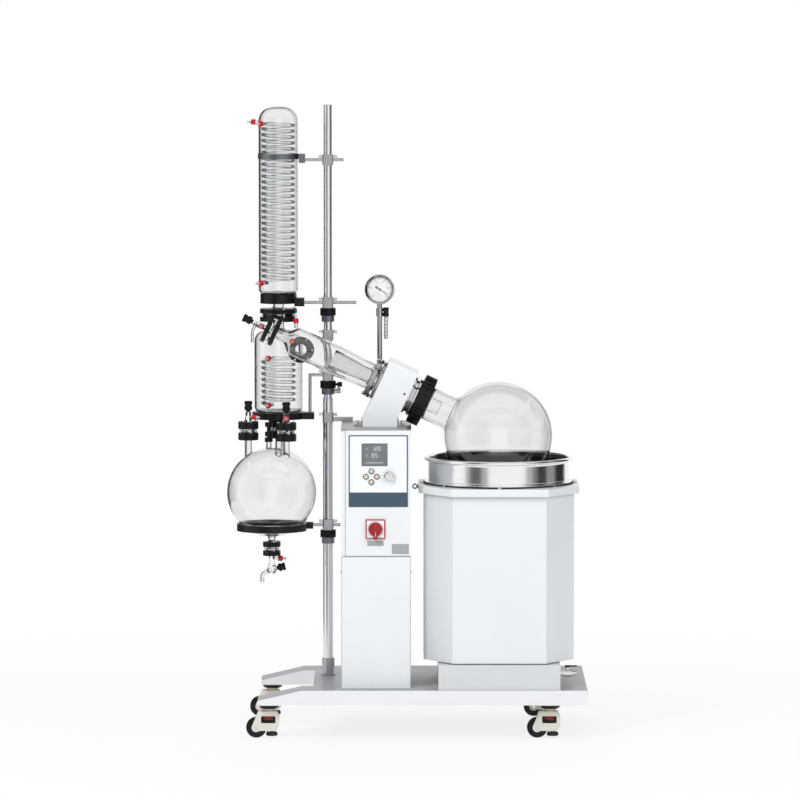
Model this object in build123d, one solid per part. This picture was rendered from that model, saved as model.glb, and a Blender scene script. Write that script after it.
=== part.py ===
from build123d import *
import math
import os

# Floor-standing rotary evaporator with a rising bath, two condensers and a receiving flask.
# Millimetres, floor at z = 0, front of the machine towards -Y, everything centred on the stand.

# Stand
STAND_HALF_WIDTH = 564.3
STAND_DEPTH = 674.0
CASTER_HEIGHT = 108.0
DECK_THICK = 46.0
DECK_WALL = 3.0
DECK_LEFT = -290.0
LEG_WIDTH = 130.0
LEG_LENGTH = 172.0
LEG_SLOPE_START = -325.0
LEG_TIP_THICK = 14.0
CASTER_LEFT = -427.0
CASTER_RIGHT = 449.0
CASTER_Y = 272.0
DECK_Z = CASTER_HEIGHT + DECK_THICK

# Casters
WHEEL_RADIUS = 32.0
WHEEL_WIDTH = 24.0
WHEEL_TRAIL = 40.0
CASTER_WIDTH = 44.0
JACK_RADIUS = 25.0
JACK_PAD_RADIUS = 18.0
JACK_STEM_RADIUS = 6.0
AXLE_RADIUS = 5.0
SWIVEL_PLATE = 68.0
SWIVEL_PLATE_THICK = 5.0
RUNNING_GAP = 0.4
FIT_GAP = 0.05

# Cabinet and control box
CABINET_LEFT = -202.0
CABINET_WIDTH = 217.0
CABINET_FRONT = -270.0
CABINET_DEPTH = 355.0
CABINET_WALL = 4.0
SEAM_HEIGHT = 411.0
BOX_HEIGHT = 395.0
BOX_SETBACK = 6.0
BOX_LEFT_STRIP = 14.0
TOP_PLATE_THICK = 3.0
PANEL_WIDTH = 184.0
PANEL_HEIGHT = 224.0
PANEL_THICK = 1.5
PANEL_TOP_MARGIN = 15.0
DISPLAY_RIGHT = -11.7
DISPLAY_UP = 51.0
DISPLAY_WIDTH = 78.0
DISPLAY_HEIGHT = 68.0
KEYS_RIGHT = -21.5
CONTROLS_UP = -17.0
BUTTON_RADIUS = 9.0
BUTTON_PITCH = 17.0
BUTTON_RISE = 3.0
KNOB_RIGHT = 34.0
KNOB_RADIUS = 17.0
KNOB_LENGTH = 16.0
SWITCH_RIGHT = -9.0
SWITCH_DOWN = 181.0
SWITCH_SIZE = 61.0
SWITCH_THICK = 6.0
HANDLE_RADIUS = 22.0
HANDLE_LENGTH = 20.0
SHAFT_RADIUS = 3.0

# Tilted drive axis, given by the middle of the lock ring
TILT = 25.0
AXIS_X = 49.4
AXIS_Y = -80.0
AXIS_Z = 1040.0
HOUSING_THICK = 98.0
HOUSING_DEPTH = 150.0
HOUSING_RISE = 78.0
HOUSING_WALL = 8.0
HOUSING_BASE_RISE = 22.0
LOCK_HALF = 19.0
LOCK_RADIUS = 80.5
LOCK_RIBS = 12
FRONT_FLANGE_THICK = 28.0
FRONT_FLANGE_RADIUS = 62.0
BACK_FLANGE_RADIUS = 62.0
BACK_FLANGE_THICK = 9.0
BACK_FLANGE_SPACE = 14.0
SLEEVE_RADIUS = 42.0
SLEEVE_BORE = 30.0
BEARING_RADIUS = 52.0
BEARING_WIDTH = 14.0
GEAR_MODULE = 3.0
GEAR_TEETH = 36
PINION_TEETH = 12
GEAR_WIDTH = 14.0
MOTOR_RADIUS = 26.0
MOTOR_LENGTH = 38.0

# Evaporating flask and the vapour tube inside the sleeve
FLASK_RADIUS = 170.0
FLASK_REACH = 264.0
GLASS_WALL = 4.0
NECK_RADIUS = 52.7
NECK_FLANGE_RADIUS = 60.0
NECK_FLANGE_THICK = 10.0
VAPOUR_RADIUS = 25.0
VAPOUR_BACK = 310.0
VAPOUR_FRONT = 60.0

# Glass arm that takes the vapour up to the condensers
ARM_END_RADIUS = 42.5
ARM_MID_RADIUS = 47.0
ARM_LENGTH = 300.0
ARM_NECK_RADIUS = 18.0
ARM_NECK_LENGTH = 24.0
ARM_SEAT_RADIUS = 52.0
SIDE_PORT_RADIUS = 22.0

# Glass joints: two black rings that squeeze a pair of glass flanges
JOINT_FLANGE_THICK = 6.0
JOINT_RING_THICK = 14.0
JOINT_MARGIN = 11.0
JOINT_BOLT_RADIUS = 3.0
JOINT_BOLT_INSET = 6.0
JOINT_BOLT_HEAD = 3.0
JOINT_BOLTS = 4
ARM_CLAMP_RADIUS = 45.5
SIDE_CLAMP_RADIUS = 42.0
SIDE_RING_THICK = 11.0
MAIN_CLAMP_RADIUS = 59.0
RECEIVER_CLAMP_RADIUS = 32.0
RECEIVER_RING_THICK = 23.0
DRAIN_CLAMP_RADIUS = 28.0
SIDE_PORT_OUT = 71.5
SIDE_PORT_Z = 1196.0
SIDE_JOINT_Y = -15.0

# Hose ports: a glass stub, a red screw cap and a clear nipple
STUB_RADIUS = 6.0
CAP_RADIUS = 8.5
CAP_LENGTH = 15.0
NIPPLE_RADIUS = 4.0
NIPPLE_LENGTH = 12.0
MAIN_PORT_TURN = 225.0
AUX_PORT_TURN = 250.0

# Pole and what stands on it
POLE_X = -246.5
POLE_Y = 75.0
POLE_TOP = 1963.0
POLE_STEP = 1037.0
POLE_RADIUS = 13.3
POLE_LOWER_RADIUS = 15.8
FOOT_HEIGHT = 56.0
FOOT_RADIUS = 19.0
ROD_RADIUS = 5.0
ROD_OFFSET = 27.0
CLAMP_SIZE = 36.0
STRAP_ROD_Z = 1790.0
MAIN_ROD_Z = 1340.0
ARM_CLAMP_Z = 1236.0
ELBOW_Z = 1111.0
TIE_Z = 975.0
RECEIVER_ROD_Z = 636.0
ELBOW_ROD_X = -303.0
COLLAR_RADIUS = 25.0
COLLARS = (1297.0, 1067.0, 594.0)
COLLAR_HEIGHT = 24.0
SLEEVE_HEIGHT = 19.0
LEVER_LENGTH = 40.0

# Condensers
CONDENSER_X = -402.5
MAIN_RADIUS = 62.7
MAIN_BOTTOM = 1366.0
MAIN_TOP = 1956.4
MAIN_COIL_RADIUS = 48.5
MAIN_COIL_BOTTOM = 1402.0
MAIN_COIL_TURNS = 27
COIL_TUBE_RADIUS = 6.0
COIL_PITCH = 18.6
AUX_RADIUS = 76.7
AUX_BOTTOM = 992.0
AUX_TOP = 1252.0
AUX_COIL_RADIUS = 51.0
AUX_COIL_BOTTOM = 1018.0
AUX_COIL_TURNS = 8
NECK_TUBE_RADIUS = 18.0
MAIN_JOINT_Z = 1299.0
STRAP_Z = 1800.0
STRAP_WIDTH = 17.0
STRAP_THICK = 2.0

# Receiving flask
RECEIVER_X = -423.5
RECEIVER_Y = 0.0
RECEIVER_Z = 743.8
RECEIVER_RADIUS = 140.8
RECEIVER_RING_RADIUS = 110.0
RECEIVER_RING_BORE = 100.0
RECEIVER_RING_HEIGHT = 22.0
RECEIVER_NECK_RADIUS = 12.0
RECEIVER_JOINT_Z = 938.0
DRAIN_JOINT_Z = 565.0
DRAIN_RING_THICK = 16.0
LEFT_NECK_OUT = -73.3
FRONT_NECK_OUT = 47.0
FRONT_NECK_Y = -50.0
SMALL_NECK_OUT = -9.0
SMALL_NECK_Y = -6.0
SMALL_NECK_TOP = 903.0
STOPPER_RADIUS = 12.0
STOPPER_STEM_RADIUS = 6.0
STOPPER_HEIGHT = 62.0
FEED_LENGTH = 62.0
VALVE_RADIUS = 9.0
VALVE_RISE = 59.0
VALVE_KNOB_RADIUS = 12.6
VALVE_KNOB_LENGTH = 35.0

# Bath
BATH_X = 290.0
BATH_Y = -80.0
BATH_WIDTH = 502.0
BATH_DEPTH = 506.0
BATH_CUT_X = 99.0
BATH_CUT_Y = 140.0
BATH_INSET = 16.0
BATH_WALL = 3.0
BATH_BOTTOM = 236.0
BATH_PLATE_Z = 758.0
BATH_PLATE_THICK = 23.0
COVER_SHEET = 4.0
PAN_RADIUS = 221.0
PAN_WALL = 3.0
PAN_RIM_RADIUS = 233.7
PAN_RIM_Z = 865.0
PAN_DEPTH = 266.0
SEAL_RADIUS = 236.0
SEAL_THICK = 5.0
HEATER_RADIUS = 150.0
HEATER_TUBE = 6.0
HEATER_RISE = 40.0
PEDESTAL_WIDTH = 379.0
PEDESTAL_HEIGHT = 79.0
PEDESTAL_FRONT = 5.0
GUIDE_SIZE = 280.0
GUIDE_HEIGHT = 96.0
RAM_RADIUS = 22.0
LIFT_WALL = 8.0

# Drain valve of the bath, with its hose spout
DRAIN_RISE = 50.0
DRAIN_SETBACK = 40.0
DRAIN_PIPE_RADIUS = 8.0
DRAIN_BODY_RADIUS = 12.0
DRAIN_BODY_LENGTH = 22.0
DRAIN_STEM_OUT = 23.0
DRAIN_STEM_RISE = 18.0
DRAIN_STEM_RADIUS = 6.0
DRAIN_COLLAR_OUT = 38.0
DRAIN_COLLAR_LENGTH = 4.0
DRAIN_COLLAR_RADIUS = 10.0
SPOUT_RADIUS = 7.0
SPOUT_LENGTH = 13.0
DRAIN_LEVER_THICK = 6.0
DRAIN_LEVER_REACH = 30.0

# Vacuum gauge
GAUGE_X = -83.0
GAUGE_Y = 20.0
GAUGE_Z = 1383.0
GAUGE_RADIUS = 47.0
GAUGE_THICK = 30.0
BEZEL_WIDTH = 6.0
DIAL_DEPTH = 10.0
POINTER_LENGTH = 32.0
POST_RADIUS = 8.0
HOSE_VALVE_OUT = 20.0

# Stations worked out from the values above
SIN_T = math.sin(math.radians(TILT))
COS_T = math.cos(math.radians(TILT))
HALF_DEPTH = STAND_DEPTH / 2
HOSE_VALVE_Z = GAUGE_Z - GAUGE_RADIUS - 25
STRAP_EAR_X = CONDENSER_X + MAIN_RADIUS + 22
MAIN_BLOCK_X = CONDENSER_X + MAIN_RADIUS + 19
CABINET_RIGHT = CABINET_LEFT + CABINET_WIDTH
CABINET_BACK = CABINET_FRONT + CABINET_DEPTH
SEAM_Z = DECK_Z + SEAM_HEIGHT
BOX_TOP = SEAM_Z + BOX_HEIGHT
TOP_Z = BOX_TOP + TOP_PLATE_THICK
BOX_FRONT = CABINET_FRONT + BOX_SETBACK
PANEL_X = CABINET_LEFT + BOX_LEFT_STRIP + (CABINET_WIDTH - BOX_LEFT_STRIP) / 2
PANEL_Z = BOX_TOP - PANEL_TOP_MARGIN - PANEL_HEIGHT / 2
DISPLAY_X = PANEL_X + DISPLAY_RIGHT
DISPLAY_Z = PANEL_Z + DISPLAY_UP
KEYS_X = PANEL_X + KEYS_RIGHT
KEYS_Z = PANEL_Z + CONTROLS_UP
SPEED_X = PANEL_X + KNOB_RIGHT
SPEED_Z = KEYS_Z
SWITCH_X = PANEL_X + SWITCH_RIGHT
SWITCH_Z = PANEL_Z - SWITCH_DOWN
HOUSING_RIGHT = -LOCK_HALF - FRONT_FLANGE_THICK
HOUSING_LEFT = HOUSING_RIGHT - HOUSING_THICK
BACK_FLANGE_END = HOUSING_LEFT - 2 * BACK_FLANGE_THICK - BACK_FLANGE_SPACE
ARM_START = BACK_FLANGE_END + BACK_FLANGE_THICK
ARM_LEFT = BACK_FLANGE_END - ARM_LENGTH
ARM_JOINT = ARM_LEFT - ARM_NECK_LENGTH - JOINT_FLANGE_THICK - JOINT_RING_THICK
PORT_X = CONDENSER_X + SIDE_PORT_OUT
PORT_Y = SIDE_JOINT_Y
PORT_Z = SIDE_PORT_Z
AXIS = Plane(origin=(AXIS_X, AXIS_Y, AXIS_Z), x_dir=(0, 1, 0), z_dir=(COS_T, 0, -SIN_T))
PAN_FLOOR = PAN_RIM_Z - PAN_DEPTH


def box(x0, x1, y0, y1, z0, z1):
    """A plain block between two corners."""
    return Pos((x0 + x1) / 2, (y0 + y1) / 2, (z0 + z1) / 2) * Box(x1 - x0, y1 - y0, z1 - z0)


def bar(start, end, radius):
    """A round bar from one point to another."""
    a = Vector(*start)
    b = Vector(*end)
    plane = Plane(origin=a, z_dir=b - a)
    return plane * Cylinder(radius, (b - a).length, align=(Align.CENTER, Align.CENTER, Align.MIN))


def post(x, y, z0, z1, radius):
    """An upright round bar."""
    return bar((x, y, z0), (x, y, z1), radius)


def disc(plane, s0, s1, radius):
    """A round piece on a plane's normal, between two distances from its origin."""
    body = Cylinder(radius, s1 - s0, align=(Align.CENTER, Align.CENTER, Align.MIN))
    return plane * (Pos(0, 0, s0) * body)


def ring(plane, s0, s1, radius, bore):
    """A round piece with a round hole."""
    return disc(plane, s0, s1, radius) - disc(plane, s0 - 1, s1 + 1, bore)


def around(count, radius, start=0.0):
    """Points evenly spaced on a circle."""
    step = 360.0 / count
    angles = [math.radians(start + step * i) for i in range(count)]
    return [(radius * math.cos(a), radius * math.sin(a)) for a in angles]


def studs(plane, s0, s1, points, radius):
    """Like bars parallel to the plane's normal, one at each point."""
    return [plane * (Pos(x, y, s0) * Cylinder(radius, s1 - s0,
            align=(Align.CENTER, Align.CENTER, Align.MIN))) for x, y in points]


def rounded_can(radius, bottom, top, low_round, high_round):
    """An upright can with rounded ends."""
    can = Pos(0, 0, bottom) * Cylinder(radius, top - bottom,
                                       align=(Align.CENTER, Align.CENTER, Align.MIN))
    can = fillet(can.edges().sort_by(Axis.Z)[-1], high_round)
    return fillet(can.edges().sort_by(Axis.Z)[0], low_round)


def hollow(outer, inner):
    """One glass vessel: joined outer forms less joined inner forms."""
    vessel = outer[0]
    for form in outer[1:]:
        vessel = vessel + form
    for form in inner:
        vessel = vessel - form
    return vessel


def toothed(teeth, phase):
    """A spur gear outline with straight flanks and running play."""
    pitch = GEAR_MODULE * teeth / 2
    tip = pitch + 0.9 * GEAR_MODULE
    root = pitch - 1.15 * GEAR_MODULE
    step = 360.0 / teeth
    points = []
    for i in range(teeth):
        middle = phase + i * step
        for share, radius in ((-0.30, root), (-0.11, tip), (0.11, tip), (0.30, root)):
            angle = math.radians(middle + share * step)
            points.append((radius * math.cos(angle), radius * math.sin(angle)))
    return make_face(Polyline(*points, close=True))


def base_frame():
    """Folded deck with two tapered legs to the left, open underneath."""
    deck = box(DECK_LEFT, STAND_HALF_WIDTH, -HALF_DEPTH, HALF_DEPTH, CASTER_HEIGHT, DECK_Z)
    deck -= box(DECK_LEFT + DECK_WALL, STAND_HALF_WIDTH - DECK_WALL, -HALF_DEPTH + DECK_WALL,
                HALF_DEPTH - DECK_WALL, CASTER_HEIGHT - 1, DECK_Z - DECK_WALL)
    tip = DECK_LEFT - LEG_LENGTH
    outline = Polyline((DECK_LEFT, DECK_Z), (LEG_SLOPE_START, DECK_Z),
                       (tip, CASTER_HEIGHT + LEG_TIP_THICK), (tip, CASTER_HEIGHT),
                       (DECK_LEFT, CASTER_HEIGHT), close=True)
    leg = extrude(Plane.XZ * make_face(outline), LEG_WIDTH)
    front = Pos(0, -HALF_DEPTH + LEG_WIDTH, 0) * leg
    rear = Pos(0, HALF_DEPTH, 0) * leg
    return deck + front + rear


def caster_places():
    """Swivel points of the four casters."""
    return [(x, y) for x in (CASTER_LEFT, CASTER_RIGHT) for y in (-CASTER_Y, CASTER_Y)]


def caster_plates():
    """Swivel plates and their pins under the deck, with pads that fill the folded deck on the right."""
    plates = []
    half = SWIVEL_PLATE / 2
    low = CASTER_HEIGHT - SWIVEL_PLATE_THICK
    for x, y in caster_places():
        plate = box(x - half, x + half, y - half, y + half, low, CASTER_HEIGHT)
        if x > 0:
            plate += box(x - half, x + half, y - half, y + half, CASTER_HEIGHT, DECK_Z - DECK_WALL)
        plates.append(plate + post(x, y, low - 8, low, 12))
    return plates


def caster_housing(x, y):
    """Cheeks of one levelling caster: a round-topped shell with a wheel slot and a jack window."""
    top = CASTER_HEIGHT - SWIVEL_PLATE_THICK - RUNNING_GAP
    axle_x = x - WHEEL_TRAIL
    low = 22.0
    shell = box(x - 30, x + 32, y - CASTER_WIDTH / 2, y + CASTER_WIDTH / 2, low + 12, top)
    shell += Pos(axle_x, y, WHEEL_RADIUS) * (Rot(90, 0, 0) * Cylinder(19, CASTER_WIDTH))
    shell += box(axle_x, x, y - CASTER_WIDTH / 2, y + CASTER_WIDTH / 2, low + 10, 74)
    shell = shell + box(axle_x + 4, x, y - CASTER_WIDTH / 2, y + CASTER_WIDTH / 2, 70, 88)
    slot = Pos(axle_x, y, WHEEL_RADIUS) * (Rot(90, 0, 0) * Cylinder(WHEEL_RADIUS + 3, WHEEL_WIDTH + 3))
    slot += box(axle_x - 40, axle_x, y - WHEEL_WIDTH / 2 - 1.5, y + WHEEL_WIDTH / 2 + 1.5, 0, 60)
    window = box(x - JACK_RADIUS - 1, x + JACK_RADIUS + 1, y - 40, y + 40, 66, 84)
    bore = post(x, y, 0, 80, JACK_STEM_RADIUS + RUNNING_GAP)
    pin_bore = post(x, y, top - 9, top + 1, 12 + FIT_GAP)
    shell = shell - slot - window - bore - pin_bore
    axle = Pos(axle_x, y, WHEEL_RADIUS) * (Rot(90, 0, 0) * Cylinder(AXLE_RADIUS, CASTER_WIDTH))
    return shell + axle


def caster_jack(x, y):
    """Thumb wheel, screw and rubber foot that take the weight off the wheel."""
    thumb = post(x, y, 67, 83, JACK_RADIUS)
    stem = post(x, y, 18, 67, JACK_STEM_RADIUS)
    foot = post(x + 8, y, 6, 18, JACK_PAD_RADIUS)
    return thumb + stem + foot


def caster_wheel(x, y):
    """A nylon roller on its axle."""
    place = Pos(x - WHEEL_TRAIL, y, WHEEL_RADIUS) * Rot(90, 0, 0)
    return place * (Cylinder(WHEEL_RADIUS, WHEEL_WIDTH) - Cylinder(AXLE_RADIUS + FIT_GAP, WHEEL_WIDTH + 2))


def cabinet_shell():
    """Lower column: a folded box, open at the bottom."""
    wall = CABINET_WALL
    outer = box(CABINET_LEFT, CABINET_RIGHT, CABINET_FRONT, CABINET_BACK, DECK_Z, SEAM_Z)
    inner = box(CABINET_LEFT + wall, CABINET_RIGHT - wall, CABINET_FRONT + wall, CABINET_BACK - wall,
                DECK_Z - 1, SEAM_Z - wall)
    return outer - inner


def control_box():
    """Upper box that carries the controls, with the two bare plates on its face."""
    wall = CABINET_WALL
    outer = box(CABINET_LEFT, CABINET_RIGHT, BOX_FRONT, CABINET_BACK, SEAM_Z, BOX_TOP)
    outer += box(CABINET_LEFT + BOX_LEFT_STRIP, CABINET_RIGHT, BOX_FRONT - 3, BOX_FRONT, SEAM_Z + 3, BOX_TOP)
    inner = box(CABINET_LEFT + wall, CABINET_RIGHT - wall, BOX_FRONT + wall, CABINET_BACK - wall,
                SEAM_Z + wall, BOX_TOP - wall)
    shell = outer - inner
    face = BOX_FRONT - 3
    shell -= bar((SPEED_X, face - 1, SPEED_Z), (SPEED_X, BOX_FRONT + wall + 1, SPEED_Z), SHAFT_RADIUS + 1)
    shell -= bar((SWITCH_X, face - 1, SWITCH_Z), (SWITCH_X, BOX_FRONT + wall + 1, SWITCH_Z), SHAFT_RADIUS + 1)
    tag = box(SWITCH_X - 25, SWITCH_X + 25, face - 1, face, SWITCH_Z - 52, SWITCH_Z - 37)
    plate = box(CABINET_RIGHT - 59, CABINET_RIGHT - 7, face - 1, face, SEAM_Z + 10, SEAM_Z + 40)
    return shell + tag + plate


def control_panel():
    """Membrane panel with a window, round keys and the ring of the speed dial."""
    face = BOX_FRONT - 3
    panel = box(PANEL_X - PANEL_WIDTH / 2, PANEL_X + PANEL_WIDTH / 2, face - PANEL_THICK, face,
                PANEL_Z - PANEL_HEIGHT / 2, PANEL_Z + PANEL_HEIGHT / 2)
    panel -= box(DISPLAY_X - DISPLAY_WIDTH / 2, DISPLAY_X + DISPLAY_WIDTH / 2, face - 5, face + 1,
                 DISPLAY_Z - DISPLAY_HEIGHT / 2, DISPLAY_Z + DISPLAY_HEIGHT / 2)
    panel -= bar((SPEED_X, face - 5, SPEED_Z), (SPEED_X, face + 1, SPEED_Z), SHAFT_RADIUS + 1)
    front = face - PANEL_THICK
    for dx, dz in ((0, 1), (-1, 0), (1, 0), (0, -1)):
        x = KEYS_X + dx * BUTTON_PITCH
        z = KEYS_Z + dz * BUTTON_PITCH
        panel += bar((x, front, z), (x, front - BUTTON_RISE, z), BUTTON_RADIUS)
    return panel


def clear_windows():
    """Clear display cover in the panel and the glass of the vacuum gauge."""
    face = BOX_FRONT - 3
    cover = box(DISPLAY_X - DISPLAY_WIDTH / 2, DISPLAY_X + DISPLAY_WIDTH / 2, face - PANEL_THICK, face,
                DISPLAY_Z - DISPLAY_HEIGHT / 2, DISPLAY_Z + DISPLAY_HEIGHT / 2)
    front = GAUGE_Y - GAUGE_THICK / 2
    glass = bar((GAUGE_X, front + 2, GAUGE_Z), (GAUGE_X, front + 4, GAUGE_Z), GAUGE_RADIUS - 6)
    return [cover, glass]


def switch_plate():
    """Square frame of the mains switch."""
    face = BOX_FRONT - 3
    half = SWITCH_SIZE / 2
    plate = box(SWITCH_X - half, SWITCH_X + half, face - SWITCH_THICK, face,
                SWITCH_Z - half, SWITCH_Z + half)
    plate = fillet(plate.edges().filter_by(Axis.Y), 6)
    front = face - SWITCH_THICK
    plate -= bar((SWITCH_X, front - 1, SWITCH_Z), (SWITCH_X, face + 1, SWITCH_Z), SHAFT_RADIUS + 1)
    return plate


def switch_handle():
    """Round turning handle with a raised pointer grip, and its shaft."""
    face = BOX_FRONT - 3 - SWITCH_THICK - RUNNING_GAP
    hub = bar((SWITCH_X, face, SWITCH_Z), (SWITCH_X, face - 8, SWITCH_Z), HANDLE_RADIUS)
    grip = box(SWITCH_X - 6, SWITCH_X + 6, face - HANDLE_LENGTH, face, SWITCH_Z - HANDLE_RADIUS - 10,
               SWITCH_Z + HANDLE_RADIUS - 2)
    grip = fillet(grip.edges().filter_by(Axis.Y), 5)
    shaft = bar((SWITCH_X, face, SWITCH_Z), (SWITCH_X, BOX_FRONT + CABINET_WALL + 10, SWITCH_Z), SHAFT_RADIUS)
    return hub + grip + shaft


def speed_knob():
    """Turned dial with a pointer rib, and its shaft."""
    face = BOX_FRONT - 3 - PANEL_THICK - RUNNING_GAP
    skirt = bar((SPEED_X, face, SPEED_Z), (SPEED_X, face - 4, SPEED_Z), KNOB_RADIUS)
    knob = bar((SPEED_X, face, SPEED_Z), (SPEED_X, face - KNOB_LENGTH, SPEED_Z), KNOB_RADIUS - 4)
    shaft = bar((SPEED_X, face, SPEED_Z), (SPEED_X, BOX_FRONT + CABINET_WALL + 10, SPEED_Z), SHAFT_RADIUS)
    return skirt + knob + shaft


def housing_mount():
    """Stainless cover of the control box and the two grey brackets of the gear housing."""
    plate = box(CABINET_LEFT - 1, CABINET_RIGHT + 1, BOX_FRONT - 4, CABINET_BACK, BOX_TOP, TOP_Z)
    left, right = housing_foot()
    brackets = []
    for x0, x1 in ((left - 26, left), (right, right + 26)):
        brackets.append(box(x0, x1, AXIS_Y - 60, AXIS_Y + 60, TOP_Z, TOP_Z + 5))
    upright_left = box(left - 5, left, AXIS_Y - 60, AXIS_Y + 60, TOP_Z, TOP_Z + HOUSING_BASE_RISE - 3)
    upright_right = box(right, right + 5, AXIS_Y - 60, AXIS_Y + 60, TOP_Z, TOP_Z + HOUSING_BASE_RISE - 3)
    return [plate, brackets[0] + upright_left, brackets[1] + upright_right]


def on_level(s, level):
    """X of the point at a height on the flat face that crosses the tilted axis at s."""
    up = (level - AXIS_Z + s * SIN_T) / COS_T
    return AXIS_X + s * COS_T + up * SIN_T


def housing_foot():
    """Left and right edges of the level foot under the tilted housing."""
    level = TOP_Z + HOUSING_BASE_RISE
    return on_level(HOUSING_LEFT, level), on_level(HOUSING_RIGHT, level)


def gear_housing():
    """Tilted box round the gears, standing on a level foot, bored for both bearings."""
    left, right = housing_foot()
    half = HOUSING_DEPTH / 2
    wall = HOUSING_WALL
    reach = 200.0
    level = TOP_Z + HOUSING_BASE_RISE
    long_box = Pos(0, (HOUSING_RISE - reach) / 2, (HOUSING_LEFT + HOUSING_RIGHT) / 2) \
        * Box(2 * half, HOUSING_RISE + reach, HOUSING_THICK)
    long_box = fillet(long_box.edges().filter_by(Axis.Z).group_by(Axis.Y)[-1], 12)
    above = box(-900, 900, -900, 900, level, level + 900)
    outer = (AXIS * long_box) & above
    outer += box(left, right, AXIS_Y - half, AXIS_Y + half, TOP_Z, level)
    inner_box = Pos(0, (HOUSING_RISE - wall - reach) / 2, (HOUSING_LEFT + HOUSING_RIGHT) / 2) \
        * Box(2 * half - 2 * wall, HOUSING_RISE - wall + reach, HOUSING_THICK - 2 * wall)
    inner = (AXIS * inner_box) & above
    inner += box(left + wall, right - wall, AXIS_Y - half + wall, AXIS_Y + half - wall, TOP_Z - 1, level)
    boss = BEARING_RADIUS + 6
    bosses = ring(AXIS, HOUSING_LEFT + wall, HOUSING_LEFT + BEARING_WIDTH, boss, BEARING_RADIUS)
    bosses += ring(AXIS, HOUSING_RIGHT - BEARING_WIDTH, HOUSING_RIGHT - wall, boss, BEARING_RADIUS)
    bore = disc(AXIS, HOUSING_LEFT - 1, HOUSING_RIGHT + 1, BEARING_RADIUS)
    return outer - inner - bore + bosses


def housing_flanges():
    """Polished cap in front and the pair of plates with spacers that grips the glass arm behind."""
    bore = SLEEVE_RADIUS + RUNNING_GAP
    cap = ring(AXIS, HOUSING_RIGHT, -LOCK_HALF - RUNNING_GAP, FRONT_FLANGE_RADIUS, bore)
    inner_end = HOUSING_LEFT - BACK_FLANGE_THICK
    inner = ring(AXIS, inner_end, HOUSING_LEFT, BACK_FLANGE_RADIUS, SLEEVE_RADIUS + RUNNING_GAP)
    outer = ring(AXIS, BACK_FLANGE_END, ARM_START, BACK_FLANGE_RADIUS, ARM_END_RADIUS + FIT_GAP)
    return [cap, inner, outer]


def shaft_bearings():
    """Two thin bearing rings between the housing and the sleeve."""
    left = ring(AXIS, HOUSING_LEFT, HOUSING_LEFT + BEARING_WIDTH, BEARING_RADIUS, SLEEVE_RADIUS + FIT_GAP)
    right = ring(AXIS, HOUSING_RIGHT - BEARING_WIDTH, HOUSING_RIGHT, BEARING_RADIUS, SLEEVE_RADIUS + FIT_GAP)
    return [left, right]


def gear_station():
    """Where the gear sits along the axis: just behind the front bearing."""
    end = HOUSING_RIGHT - BEARING_WIDTH - 2
    return end - GEAR_WIDTH, end


def pinion_plane():
    """Plane of the pinion, below the sleeve and parallel to it."""
    drop = GEAR_MODULE * (GEAR_TEETH + PINION_TEETH) / 2
    origin = AXIS.origin - AXIS.y_dir * drop
    return Plane(origin=origin, x_dir=(0, 1, 0), z_dir=AXIS.z_dir)


def drive_gear():
    """Gear ring on the sleeve, one tooth pointing at the pinion."""
    s0, s1 = gear_station()
    blank = Pos(0, 0, s0) * extrude(toothed(GEAR_TEETH, -90), GEAR_WIDTH)
    blank -= Pos(0, 0, s0) * Cylinder(SLEEVE_RADIUS - 1, 4 * GEAR_WIDTH)
    return AXIS * blank


def pinion():
    """Driving pinion on its motor shaft, one gap facing the gear's tooth."""
    s0, s1 = gear_station()
    blank = Pos(0, 0, s0) * extrude(toothed(PINION_TEETH, 90 + 180 / PINION_TEETH), GEAR_WIDTH)
    shaft = Pos(0, 0, s0 - 10) * Cylinder(SHAFT_RADIUS + 2, 12, align=(Align.CENTER, Align.CENTER, Align.MIN))
    return pinion_plane() * (blank + shaft)


def drive_motor():
    """Motor body with a bore for the pinion's shaft, carried on a foot on the box's cover."""
    s0, s1 = gear_station()
    plane = pinion_plane()
    body = ring(plane, s0 - 3 - MOTOR_LENGTH, s0 - 3, MOTOR_RADIUS, SHAFT_RADIUS + 2 + FIT_GAP)
    middle = plane.origin + plane.z_dir * (s0 - 3 - MOTOR_LENGTH / 2)
    foot = box(middle.X - 16, middle.X + 10, AXIS_Y - 18, AXIS_Y + 18, TOP_Z, middle.Z - 8)
    bore = disc(plane, s0 - 4 - MOTOR_LENGTH, s0 + 5, SHAFT_RADIUS + 2 + FIT_GAP)
    return body + foot - bore


def rotor_sleeve():
    """Hollow steel shaft that carries the gear and ends in the flange of the flask joint."""
    tube = ring(AXIS, HOUSING_LEFT - 4, -15, SLEEVE_RADIUS, SLEEVE_BORE)
    tube += ring(AXIS, -15, -3, NECK_FLANGE_RADIUS, SLEEVE_BORE)
    return tube + drive_gear()


def lock_ring():
    """Fluted ring nut that pulls the flask's flange onto the sleeve."""
    body = ring(AXIS, -LOCK_HALF, LOCK_HALF, LOCK_RADIUS - 3, NECK_RADIUS + 1)
    body -= disc(AXIS, -LOCK_HALF + 4, NECK_FLANGE_THICK - 2, NECK_FLANGE_RADIUS + FIT_GAP)
    back_hole = disc(AXIS, -LOCK_HALF - 1, -LOCK_HALF + 5, SLEEVE_RADIUS + 12)
    body -= back_hole
    ribs = []
    for x, y in around(LOCK_RIBS, LOCK_RADIUS - 5.5):
        angle = math.degrees(math.atan2(y, x))
        rib = Pos(x, y, 0) * Rot(0, 0, angle) * Box(11, 15, 2 * LOCK_HALF)
        ribs.append(AXIS * rib)
    for rib in ribs:
        body += rib
    return body


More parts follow.
